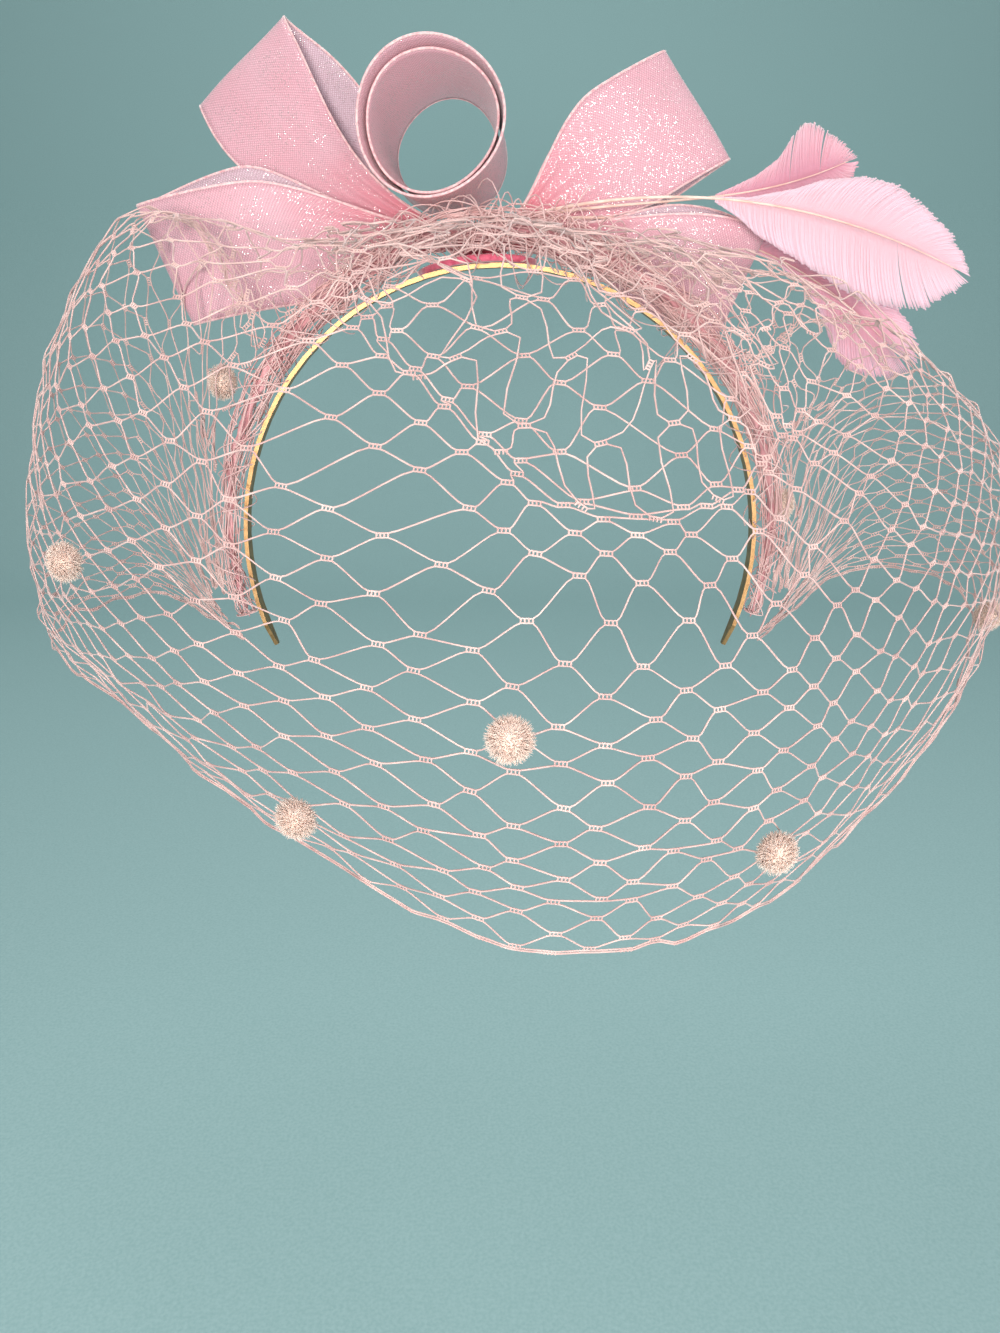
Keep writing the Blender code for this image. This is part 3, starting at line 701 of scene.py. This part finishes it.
def knot_grid(columns, rows):
    """Shares along and down for a grid of half columns and half rows, and its shape."""
    shape = (2 * rows + 1, 2 * columns + 1)
    s = np.tile(np.linspace(0.0, 1.0, shape[1]), shape[0])
    t = np.repeat(np.linspace(0.0, 1.0, shape[0]), shape[1])
    return s, t, shape


def strays(seed, count):
    """Function that draws how far each knot strays, afresh at each call."""
    jitter = np.random.default_rng(seed)
    return lambda: jitter.normal(0.0, 1.0, count)


def laid_knots(frames, lift, spin, loose, shape):
    """Knots lifted off the bag and turned on it: places, two directions and looseness by row."""
    here, across, outward = frames
    here = here + outward * lift[:, None]
    side = np.cross(outward, across)
    across = across * np.cos(spin)[:, None] + side * np.sin(spin)[:, None]
    return (here.reshape(*shape, 3), across.reshape(*shape, 3),
            outward.reshape(*shape, 3), loose.reshape(shape))


def net_knots():
    """All knots of the net, by row and half column.

    Near the roll the strip is gathered: it folds back on itself and its knots wander.
    """
    s, t, shape = knot_grid(NET_COLUMNS, NET_ROWS)
    down = 1.42 * t - 0.42 * t * t
    loose = 1.0 - smooth_step(down / FOLD_REACH)
    stray = strays(3, len(s))
    phase = 2.0 * math.pi * FOLDS * s + 1.6 * np.sin(9.0 * s + 1.0)
    along = s + FOLD_STRENGTH * loose * np.sin(phase + 1.2 * t) / (2.0 * math.pi * FOLDS)
    along = along + stray() * (0.0012 + 0.0058 * loose)
    down = down + stray() * (0.0035 + 0.014 * loose * smooth_step(6.0 * t))
    along, down = drawn_to_crease(along, down)
    frames = veil_frames(np.clip(along, 0.0, 1.0), np.clip(down, 0.0, 1.0))
    lift = FOLD_DEPTH * loose * (np.cos(phase) + 0.4 * stray())
    lift = np.maximum(lift, -0.0010) * smooth_step(5.0 * t) + 0.0005 * stray()
    return laid_knots(frames, lift, stray() * (0.05 + 0.55 * loose), loose, shape)


def thread_between(start, start_way, end, end_way, pull):
    """Points of a springy thread between two knots."""
    reach = np.linalg.norm(end - start) * pull / 3.0
    controls = np.array([start, start + start_way * reach, end - end_way * reach, end])
    return cubic_weights(np.linspace(0.0, 1.0, THREAD_STEPS + 1)) @ controls


def double_knots():
    """Knots of the stretch of net that is folded double between the roll and the crease."""
    s, t, shape = knot_grid(DOUBLE_COLUMNS, DOUBLE_ROWS)
    stray = strays(17, len(s))
    along = DOUBLE_ENDS[0] + (DOUBLE_ENDS[1] - DOUBLE_ENDS[0]) * s
    crease = np.array(CREASE)
    low = np.interp(along, crease[:, 0], crease[:, 1], left=0.12, right=0.30)
    down = 0.02 + (low - 0.02) * t ** 0.85
    inner = np.sin(math.pi * t)
    along = along + DOUBLE_WANDER * stray() * (0.3 + inner)
    down = down + 4.0 * DOUBLE_WANDER * stray() * inner
    frames = veil_frames(np.clip(along, 0.0, 1.0), np.clip(down, 0.0, 1.0))
    lift = DOUBLE_LIFT * (0.25 + inner) + 0.0006 * stray()
    return laid_knots(frames, lift, 0.5 * stray(), np.ones(len(s)), shape)


def zigzag_threads(here, across, outward, loose):
    """Zigzag threads between the rows of knots."""
    last_row, halves = here.shape[0] - 1, here.shape[1]
    paths = []
    for row in range(last_row):
        path = []
        for half in range(halves):
            upper = (half % 2) == (row % 2)
            r = row if upper else row + 1
            centre, way, out = here[r, half], across[r, half], outward[r, half]
            below = np.cross(way, out) * (1.0 if upper else -1.0)
            downward = here[row + 1, half] - here[row, half]
            if np.dot(below, downward) * (1 if upper else -1) < 0:
                below = -below
            rest = centre + below * KNOT_HALF_HEIGHT
            left, right = rest - way * KNOT_HALF_LENGTH, rest + way * KNOT_HALF_LENGTH
            if path:
                strand = thread_between(path[-1], last_way, left, way, 0.35 + 0.9 * loose[r, half])
                path.extend(strand[1:])
            else:
                path.append(left)
            path.append(right)
            last_way = way
        paths.append(np.array(path))
    return paths


def ladder_rungs(here, across, outward):
    """Short rungs that tie the threads together at every knot."""
    rungs = []
    for row in range(here.shape[0]):
        for half in range(row % 2, here.shape[1], 2):
            centre, way = here[row, half], across[row, half]
            reach = np.cross(way, outward[row, half]) * KNOT_HALF_HEIGHT * RUNG_REACH
            for step in RUNG_STEPS:
                middle = centre + way * KNOT_HALF_LENGTH * step
                rungs.append(np.array([middle - reach, middle + reach]))
    return rungs


def build_net():
    """The net's threads and knots, with the stretch that is folded double."""
    single, double = net_knots(), double_knots()
    paths = zigzag_threads(*single)
    hem = np.array(paths[-1]) + np.array((0.0, 0.0, -HEM_DROP))
    doubled = zigzag_threads(*double)
    thick = [1.0] * len(paths) + [HEM_THICKNESS] + [1.0] * len(doubled)
    threads = threads_from_paths("net_threads", paths + [hem] + doubled, NET_FINISH, THREAD_RADIUS, 4, thick)
    place_piece("net_threads", threads, NET_FINISH, "net_thread", "net")
    rungs = ladder_rungs(*single[:3]) + ladder_rungs(*double[:3])
    knots = threads_from_paths("net_knots", rungs, NET_FINISH, THREAD_RADIUS * 1.05)
    place_piece("net_knots", knots, NET_FINISH, "net_thread")


def build_gather_core():
    """Ribbed core of the gather, which fills the roll's middle."""
    end = math.radians(ROLL_END_DEG)
    bm = bmesh.new()
    rings = []
    for i in range(CORE_STATIONS + 1):
        share = 2.0 * i / CORE_STATIONS - 1.0
        angle = end * share
        tip = max(math.sqrt(max(1.0 - abs(share) ** 12, 0.0)), 0.2)
        ring = []
        for k in range(CORE_SIDES):
            turn = 2.0 * math.pi * k / CORE_SIDES
            rib = 0.22 * math.sin(61.0 * angle + 2.0 * turn) + 0.16 * math.sin(23.0 * angle - 3.0 * turn)
            radius = roll_radius(angle) * (0.30 + 0.5 * rib) * tip
            ring.append(bm.verts.new(round_roll(angle, radius, turn)))
        rings.append(ring)
    core = tube_mesh(bm, "gather_core", rings)
    place_piece("gather_core", core, GATHER_CORE_FINISH, "bunched_net", "net_gather")


def build_tangle():
    """Bunched threads wound round the core, short ones and long strands."""
    end = math.radians(ROLL_END_DEG)
    loops = np.random.default_rng(11)
    paths = []
    for number in range(TANGLE_THREADS + LONG_STRANDS):
        long_strand = number >= TANGLE_THREADS
        share = np.clip(loops.normal(0.0, 0.50), -0.97, 0.97)
        length = loops.uniform(0.5, 1.2) if long_strand else loops.uniform(0.08, 0.32)
        turns = loops.uniform(0.5, 1.9) * loops.choice((-1.0, 1.0))
        begin = loops.uniform(0.0, 2.0 * math.pi)
        swell = loops.uniform(0.45, 1.0) if long_strand else loops.uniform(0.6, 1.3)
        swell += 0.0 if long_strand else 1.3 * loops.random() ** 3
        wobble = loops.uniform(0.0, 0.30, 2)
        path = []
        for u in np.linspace(0.0, 1.0, TANGLE_STEPS + 1):
            angle = end * np.clip(share + length * (u - 0.5), -0.99, 0.99)
            radius = roll_radius(angle) * swell * (1.0 + wobble[0] * math.sin(4.0 * u + begin)
                                                   + wobble[1] * math.sin(7.0 * u))
            path.append(round_roll(angle, radius, begin + 2.0 * math.pi * turns * u))
        paths.append(np.array(path))
    tangle = threads_from_paths("gather_tangle", paths, TANGLE_FINISH, THREAD_RADIUS * 0.85)
    place_piece("gather_tangle", tangle, TANGLE_FINISH, "bunched_net")


# Bow

def knot_centre():
    """Middle of the bow's knot, on the felt."""
    lift = BAND_THICKNESS + 2.0 * CLEARANCE + FELT_THICKNESS
    seat = over_band(math.asin(KNOT_PLACE.x / BAND_HALF_WIDTH), lift, KNOT_PLACE.y)
    return Vector(seat) + Vector((0.0, 0.0, KNOT_HALF_SIZE.z))


def from_knot(shares, size):
    """Point at shares of a size from the knot's middle."""
    return knot_centre() + Vector(shares) * size


def rim_centre(rim):
    """Middle of a rim of the curl."""
    size, aside, behind, lift = rim
    return knot_centre() + Vector((aside * BOW_REACH, behind * RIBBON_WIDTH,
                                   lift * KNOT_HALF_SIZE.z + size * CURL_RADIUS))


def ribbon_mesh(name, rows, finish, inner_finish, *nodes):
    """Closed turn of thin woven wall with corded edges, from rows of points across the ribbon."""
    bm = bmesh.new()
    uv_layer = bm.loops.layers.uv.new("weave")
    painted_shade_layer = bm.verts.layers.float.new("painted_shade")
    across = len(rows[0][0])
    middles = [points[across // 2] for points, _ in rows]
    steps = [(far - near).length for near, far in zip(middles, middles[1:] + middles[:1])]
    marks = [sum(steps[:i]) for i in range(len(steps) + 1)]
    grid = [[bm.verts.new(point) for point in points] for points, _ in rows]
    # each row's second value is the painted shade towards the knot, kept on its vertices
    for line, (_, painted_shade) in zip(grid, rows):
        for vert in line:
            vert[painted_shade_layer] = painted_shade
    for i, near in enumerate(grid):
        far = grid[(i + 1) % len(grid)]
        for k in range(across - 1):
            face = bm.faces.new((near[k], near[k + 1], far[k + 1], far[k]))
            shares = ((marks[i], k), (marks[i], k + 1), (marks[i + 1], k + 1), (marks[i + 1], k))
            for loop, (mark, step) in zip(face.loops, shares):
                loop[uv_layer].uv = (mark / RIBBON_WIDTH, step / (across - 1))
    bmesh.ops.recalc_face_normals(bm, faces=bm.faces)
    middle = sum((vert.co for vert in bm.verts), Vector()) / len(bm.verts)
    if sum((face.calc_center_median() - middle).dot(face.normal) for face in bm.faces) < 0.0:
        bmesh.ops.reverse_faces(bm, faces=bm.faces)
    piece = place_piece(name, finished_mesh(bm, name), finish, "ribbon", *nodes)
    piece.data.materials.append(inner_finish)
    add_wall(piece, RIBBON_SHEET, 1)
    for edge, column in (("low", 0), ("high", -1)):
        path = np.array([points[column] for points, _ in rows + rows[:1]])
        cord_name = "%s_selvage_%s" % (name, edge)
        cord = threads_from_paths(cord_name, [path], SELVAGE_FINISH, SELVAGE_RADIUS, 6)
        place_piece(cord_name, cord, SELVAGE_FINISH, "ribbon")
    return piece, marks[-1]


def build_loop(spec):
    """Ribbon loop: out to a fold and back, drawn in with pleats at the knot."""
    name, root, low, high, opening, bend, back_bend, taper = spec
    root = from_knot(root, KNOT_HALF_SIZE)
    low, high = from_knot(low, BOW_REACH), from_knot(high, BOW_REACH)
    reach = 0.5 * (low + high) - root
    across = (high - low).normalized()
    facing = reach.cross(across).normalized()
    if facing.y > 0.0:
        facing.negate()
    rows = []
    for i in range(LOOP_STATIONS):
        turn = 2.0 * math.pi * (i + 0.5) / LOOP_STATIONS
        out = 0.5 * (1.0 - math.cos(turn))
        open_share = math.copysign(math.sqrt(abs(math.sin(turn))), math.sin(turn))
        depth = 0.5 * RIBBON_ROOT_OPENING * open_share + opening * RIBBON_WIDTH * math.sin(turn) * out
        spread = float(smooth_step(out / taper))
        width = RIBBON_ROOT_WIDTH + (RIBBON_WIDTH - RIBBON_ROOT_WIDTH) * spread
        bow = bend * math.sin(math.pi * out)
        if turn > math.pi:
            bow += back_bend * math.sin(math.pi * out) * float(smooth_step((out - 0.25) / 0.35))
        middle = root + reach * out + across * bow * RIBBON_WIDTH
        points = []
        for k in range(LOOP_STRIPS + 1):
            side = k / LOOP_STRIPS - 0.5
            pleat = PLEAT_DEPTH * (1.0 - spread) * math.cos(8.0 * math.pi * side + 2.0 * out)
            sway = SWAY_DEPTH * math.sin(9.0 * out + 5.0 * side) * spread
            points.append(middle + across * width * side + facing * (depth + pleat + sway))
        # painted shade: 1 at the knot, fading to nothing over the first 55 per cent of the way out
        rows.append((points, max(0.0, 1.0 - out / 0.55) ** 1.5))
    piece, length = ribbon_mesh(name + "_ribbon", rows, RIBBON_FINISH, INNER_RIBBON_FINISH, name)
    length = round(length, 4)


def build_curl(name, inset, first, last, *nodes):
    """One turn of the curl, set in from the outer one, between two shares of its depth."""
    front, back = rim_centre(CURL_FRONT), rim_centre(CURL_BACK)
    axis = (back - front).normalized()
    side = Vector((1.0, 0.0, 0.0))
    side = (side - axis * side.dot(axis)).normalized()
    up = side.cross(axis)
    rows = []
    for i in range(CURL_STATIONS):
        turn = 2.0 * math.pi * i / CURL_STATIONS
        points = []
        for k in range(CURL_STRIPS + 1):
            share = first + (last - first) * k / CURL_STRIPS
            flare = 0.0006 * math.sin(math.pi * share) + 0.0004 * math.sin(3.0 * turn + 4.0 * share) + inset
            radius = CURL_RADIUS * (CURL_FRONT[0] + (CURL_BACK[0] - CURL_FRONT[0]) * share) - flare
            middle = front + (back - front) * share
            points.append(middle + (side * math.sin(turn) + up * math.cos(turn)) * radius)
        # painted shade: deepest at the curl's bottom, by the knot
        rows.append((points, (0.5 * (1.0 - math.cos(turn))) ** 4))
    piece, length = ribbon_mesh(name, rows, RIBBON_FINISH, RIBBON_FINISH, *nodes)


def build_knot():
    """Knot of the bow, pleated where the ribbon is drawn together."""
    centre = knot_centre()
    bm = bmesh.new()
    bmesh.ops.create_uvsphere(bm, u_segments=72, v_segments=36, radius=1.0)
    uv_layer = bm.loops.layers.uv.new("weave")
    painted_shade_layer = bm.verts.layers.float.new("painted_shade")
    for vert in bm.verts:
        turn = math.atan2(vert.co.z, vert.co.y)
        ends = max(1.0 - abs(vert.co.x), 0.0)
        pleat = 1.0 - (0.07 + 0.07 * math.cos(11.0 * turn + 2.5 * vert.co.x)) * ends ** 0.5
        pleat -= 0.03 * math.sin(7.0 * vert.co.x + 3.0 * turn)
        vert.co = Vector((vert.co.x * KNOT_HALF_SIZE.x, vert.co.y * KNOT_HALF_SIZE.y * pleat,
                          vert.co.z * KNOT_HALF_SIZE.z * pleat)) + centre
        # the knot is given full painted shade, the deep end of its ramp
        vert[painted_shade_layer] = 1.0
    for face in bm.faces:
        for loop in face.loops:
            offset = loop.vert.co - centre
            loop[uv_layer].uv = (offset.x / RIBBON_WIDTH, math.atan2(offset.z, offset.y) / 6.0)
    place_piece("bow_knot", finished_mesh(bm, "bow_knot"), DEEP_RIBBON_FINISH, "ribbon_deep", "bow_centre")


def build_felt():
    """Felt oval with a soft edge, bent over the headband."""
    bm = bmesh.new()
    lift = BAND_THICKNESS + CLEARANCE + 0.5 * FELT_THICKNESS
    phases = np.random.default_rng(5).uniform(0.0, 6.28, 3)

    def felt_vertex(share, turn):
        edge = 1.0 + 0.015 * math.sin(5.0 * turn + phases[0]) + 0.010 * math.sin(13.0 * turn + phases[1])
        x = FELT_CENTRE[0] + share * edge * 0.98 * FELT_HALF_LENGTH * math.cos(turn)
        y = FELT_CENTRE[1] + share * edge * 0.98 * FELT_HALF_BREADTH * math.sin(turn)
        return bm.verts.new(over_band(math.asin(x / BAND_HALF_WIDTH), lift, y))

    middle = felt_vertex(0.0, 0.0)
    rings = [[felt_vertex(r / FELT_RINGS, 2.0 * math.pi * k / FELT_SIDES) for k in range(FELT_SIDES)]
             for r in range(1, FELT_RINGS + 1)]
    join_rings(bm, rings)
    for k in range(FELT_SIDES):
        bm.faces.new((middle, rings[0][k], rings[0][(k + 1) % FELT_SIDES]))
    bmesh.ops.recalc_face_normals(bm, faces=bm.faces)
    piece = place_piece("felt_oval", finished_mesh(bm, "felt_oval"), FELT_FINISH, "pink_felt", "felt_base")
    add_wall(piece, FELT_THICKNESS)
    soften = piece.modifiers.new("soft_edge", "BEVEL")
    soften.width = 0.0006
    soften.segments = 2


# Feathers

def cubic_point(line, share):
    """Point at a share of a cubic curve through four control points."""
    return (cubic_weights(np.array([share])) @ np.array(line))[0]


def outline_point(outline, share):
    """Point at a share of the length of an outline, and its place along the vane."""
    points = np.array(outline)
    steps = np.linalg.norm(np.diff(points * np.array((4.0, 1.0)), axis=0), axis=1)
    passed = np.concatenate([[0.0], np.cumsum(steps)])
    wanted = share * passed[-1]
    return np.array([np.interp(wanted, passed, points[:, 0]), np.interp(wanted, passed, points[:, 1])])


def feather_frame(line, facing, share):
    """Point of the quill, with the directions sideways and out of the vane."""
    here = Vector(cubic_point(line, share))
    ahead = Vector(cubic_point(line, share + 0.01) - cubic_point(line, share - 0.01)).normalized()
    sideways = ahead.cross(facing).normalized()
    return here, sideways, sideways.cross(ahead)


def build_vane(spec, line, facing):
    """Vane of separate barbs that part here and there."""
    name, _, _, vane_start, cup, _, slot, left_edge, right_edge = spec
    wander = np.random.default_rng(sum(ord(c) for c in name))
    bm = bmesh.new()
    uv_layer = bm.loops.layers.uv.new("vane")

    def vane_vertex(place, lift):
        here, sideways, normal = feather_frame(line, facing, vane_start + (1.0 - vane_start) * place[0])
        reach = place[1] * VANE_HALF_WIDTH
        return bm.verts.new(here + sideways * reach - normal * (cup * reach * place[1] - lift))

    for hand, outline in ((-1.0, left_edge), (1.0, right_edge)):
        clump = 0.0
        for k in range(BARBS):
            share = (k + 0.5) / BARBS
            if wander.random() < PARTING_CHANCE:
                clump = wander.normal(0.0, 0.006)
            tip = outline_point(outline, min(max(share + clump, 0.0), 1.0))
            start = np.array([min(0.90 * share ** 1.1, tip[0]), 0.0])
            tip = start + (tip - start) * (1.0 + wander.normal(0.0, 0.010 + 0.030 * share ** 3))
            bend = 0.5 * (start + tip) + np.array([-0.03, 0.10 * hand]) * abs(tip[1])
            lift = wander.normal(0.0, 0.00015)
            previous = None
            for u in np.arange(BARB_STEPS + 1) / BARB_STEPS:
                place = (1 - u) ** 2 * start + 2 * u * (1 - u) * bend + u * u * tip
                thin = BARB_HALF_WIDTH * (1.0 - 0.5 * u ** 4) * (1.0 + 1.1 * u)
                across = np.array([thin * 0.42, -hand * thin * 0.9 * u])
                pair = [vane_vertex(place + side * across, lift * u) for side in (-1.0, 1.0)]
                if previous:
                    face = bm.faces.new((previous[0], pair[0], pair[1], previous[1]))
                    beside = share + 1 / BARBS
                    marks = ((share, last_u), (share, u), (beside, u), (beside, last_u))
                    for loop, mark in zip(face.loops, marks):
                        loop[uv_layer].uv = mark
                previous, last_u = pair, u
    vane = place_piece(name + "_vane", finished_mesh(bm, name + "_vane"), FEATHER_FINISHES[slot], slot, name)
    add_wall(vane, VANE_THICKNESS)


def build_feather(spec):
    """Feather: its vane, and the quill that thins towards the tip."""
    name, root, stretch, vane_start, _, facing, slot = spec[:7]
    line = [from_knot(root, KNOT_HALF_SIZE)] + [from_knot(shares, FEATHER_REACH) for shares in stretch]
    facing = Vector(facing).normalized()
    build_vane(spec, line, facing)
    bm = bmesh.new()
    rings = []
    for share in np.arange(QUILL_STEPS + 1) / QUILL_STEPS:
        here, sideways, normal = feather_frame(line, facing, share * (0.07 * vane_start + 0.93))
        radius = QUILL_RADIUS * (1.0 - 0.8 * share)
        turns = [2.0 * math.pi * j / QUILL_SIDES for j in range(QUILL_SIDES)]
        rings.append([bm.verts.new(here + (sideways * math.cos(a) + normal * math.sin(a)) * radius)
                      for a in turns])
    place_piece(name + "_quill", tube_mesh(bm, name + "_quill", rings), QUILL_FINISH, slot)


# Chenille dots

def dot_tree():
    """Fibres that stand out of a small ball in all directions."""
    tree, start, out = new_tree("chenille_dot", [
        ("Fibres", "NodeSocketInt", DOT_FIBRES),
        ("Seed", "NodeSocketInt", 1),
        ("Finish", "NodeSocketMaterial", None),
    ])
    ball, seed = start.outputs["Geometry"], start.outputs["Seed"]
    area = add_node(tree, "GeometryNodeInputMeshFaceArea")
    total = add_node(tree, "GeometryNodeAttributeStatistic", domain="FACE", Geometry=ball, Attribute=area)
    density = compute(tree, "DIVIDE", start.outputs["Fibres"], total.outputs["Sum"])
    scatter = add_node(tree, "GeometryNodeDistributePointsOnFaces", Mesh=ball, Density=density, Seed=seed)
    fibre = add_node(tree, "GeometryNodeMeshCone", Vertices=3, Radius_Top=FIBRE_RADII[0],
                     Radius_Bottom=FIBRE_RADII[1], Depth=FIBRE_LENGTH)
    put = add_node(tree, "GeometryNodeInstanceOnPoints", Points=scatter, Instance=fibre,
                   Rotation=scatter.outputs["Rotation"])
    tilt = add_node(tree, "FunctionNodeRandomValue", data_type="FLOAT_VECTOR", Seed=seed,
                    Min=(-FIBRE_TILT, -FIBRE_TILT, 0.0), Max=(FIBRE_TILT, FIBRE_TILT, 3.0))
    turn = add_node(tree, "GeometryNodeRotateInstances", Instances=put, Rotation=tilt)
    length = add_node(tree, "FunctionNodeRandomValue", data_type="FLOAT")
    length.inputs[2].default_value = 0.65
    length.inputs[3].default_value = 1.15
    size = add_node(tree, "ShaderNodeCombineXYZ", X=1.0, Y=1.0, Z=length.outputs[1])
    grow = add_node(tree, "GeometryNodeScaleInstances", Instances=turn, Scale=size)
    both = add_node(tree, "GeometryNodeJoinGeometry", Geometry=grow)
    feed(tree, both.inputs["Geometry"], ball)
    end_tree(tree, both, start.outputs["Finish"], out)
    return tree


def build_dot(index, along, down):
    """Flattened tuft of chenille beside its net thread."""
    here, _, outward = veil_frames(np.array([along]), np.array([down]))
    outward = Vector(outward[0])
    name = "dot_%d_tuft" % index
    bm = bmesh.new()
    bmesh.ops.create_icosphere(bm, subdivisions=3, radius=DOT_RADIUS * 0.84)
    carrier = bpy.data.objects.new(name, finished_mesh(bm, name))
    carrier.data.shade_flat()
    bpy.context.scene.collection.objects.link(carrier)
    run_tree(carrier, DOT_TREE, {"Seed": index, "Fibres": DOT_FIBRES, "Finish": DOT_FINISH})
    tuft = baked_mesh(carrier, name)
    turn = Vector((0.0, 0.0, 1.0)).rotation_difference(outward).to_matrix().to_4x4()
    place = Matrix.Translation(Vector(here[0]) + outward * DOT_FLATTENING * DOT_RADIUS)
    tuft.transform(place @ turn @ Matrix.Diagonal((1.0, 1.0, DOT_FLATTENING + 0.08, 1.0)))
    tuft.shade_smooth()
    place_piece(name, tuft, DOT_FINISH, "chenille", "dot_%d" % index)


THREADS = thread_tree()
DOT_TREE = dot_tree()
NET_FINISH = thread_finish("net_thread", tone(0.80, 0.63, 0.61), tone(0.93, 0.78, 0.75))
TANGLE_FINISH = thread_finish("bunched_net", tone(0.84, 0.63, 0.62), tone(0.95, 0.79, 0.77))
GATHER_CORE_FINISH = thread_finish("bunched_net_core", tone(0.78, 0.52, 0.54), tone(0.90, 0.66, 0.67))
SELVAGE_FINISH = thread_finish("ribbon_selvage", tone(0.88, 0.64, 0.66), tone(0.98, 0.84, 0.83),
                               900.0, 0.6)
# each ribbon finish runs from its pale colour to its deep colour of painted shade towards the knot
RIBBON_FINISH = ribbon_finish("crin_ribbon", tone(0.91, 0.73, 0.77), tone(0.91, 0.49, 0.55))
INNER_RIBBON_FINISH = ribbon_finish("crin_ribbon_inner", tone(0.86, 0.77, 0.81),
                                    tone(0.90, 0.66, 0.70), 0.24)
DEEP_RIBBON_FINISH = ribbon_finish("crin_ribbon_deep", tone(0.92, 0.56, 0.61), tone(0.86, 0.38, 0.46))
FELT_FINISH = fuzz_finish("pink_felt", tone(0.80, 0.28, 0.40), tone(0.95, 0.46, 0.55))
DOT_FINISH = fuzz_finish("chenille", tone(0.94, 0.79, 0.72), tone(0.99, 0.90, 0.84))
QUILL_FINISH = thread_finish("quill", tone(0.92, 0.74, 0.68), tone(0.97, 0.86, 0.80), 300.0, 0.1)
FEATHER_FINISHES = {
    "feather_deep": feather_finish("feather_deep", tone(0.82, 0.54, 0.62), tone(0.92, 0.70, 0.75)),
    "feather_pale": feather_finish("feather_pale", tone(0.92, 0.72, 0.76), tone(0.94, 0.78, 0.83)),
    "feather_mid": feather_finish("feather_mid", tone(0.90, 0.60, 0.67), tone(0.95, 0.74, 0.80)),
}

add_camera()
add_studio()

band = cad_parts["headband"]
band.data.materials.clear()
band.data.materials.append(gold_finish())

build_net()
build_gather_core()
build_tangle()
build_felt()
build_knot()
for loop_spec in LOOPS:
    build_loop(loop_spec)
build_curl("bow_curl_ribbon", 0.0, 0.0, 1.0, "bow_curl")
build_curl("bow_curl_lap", CURL_LAP_INSET, *CURL_LAP_ENDS)
for feather_spec in FEATHERS:
    build_feather(feather_spec)
for number, (dot_along, dot_down) in enumerate(DOTS, 1):
    build_dot(number, dot_along, dot_down)

bpy.context.view_layer.update()
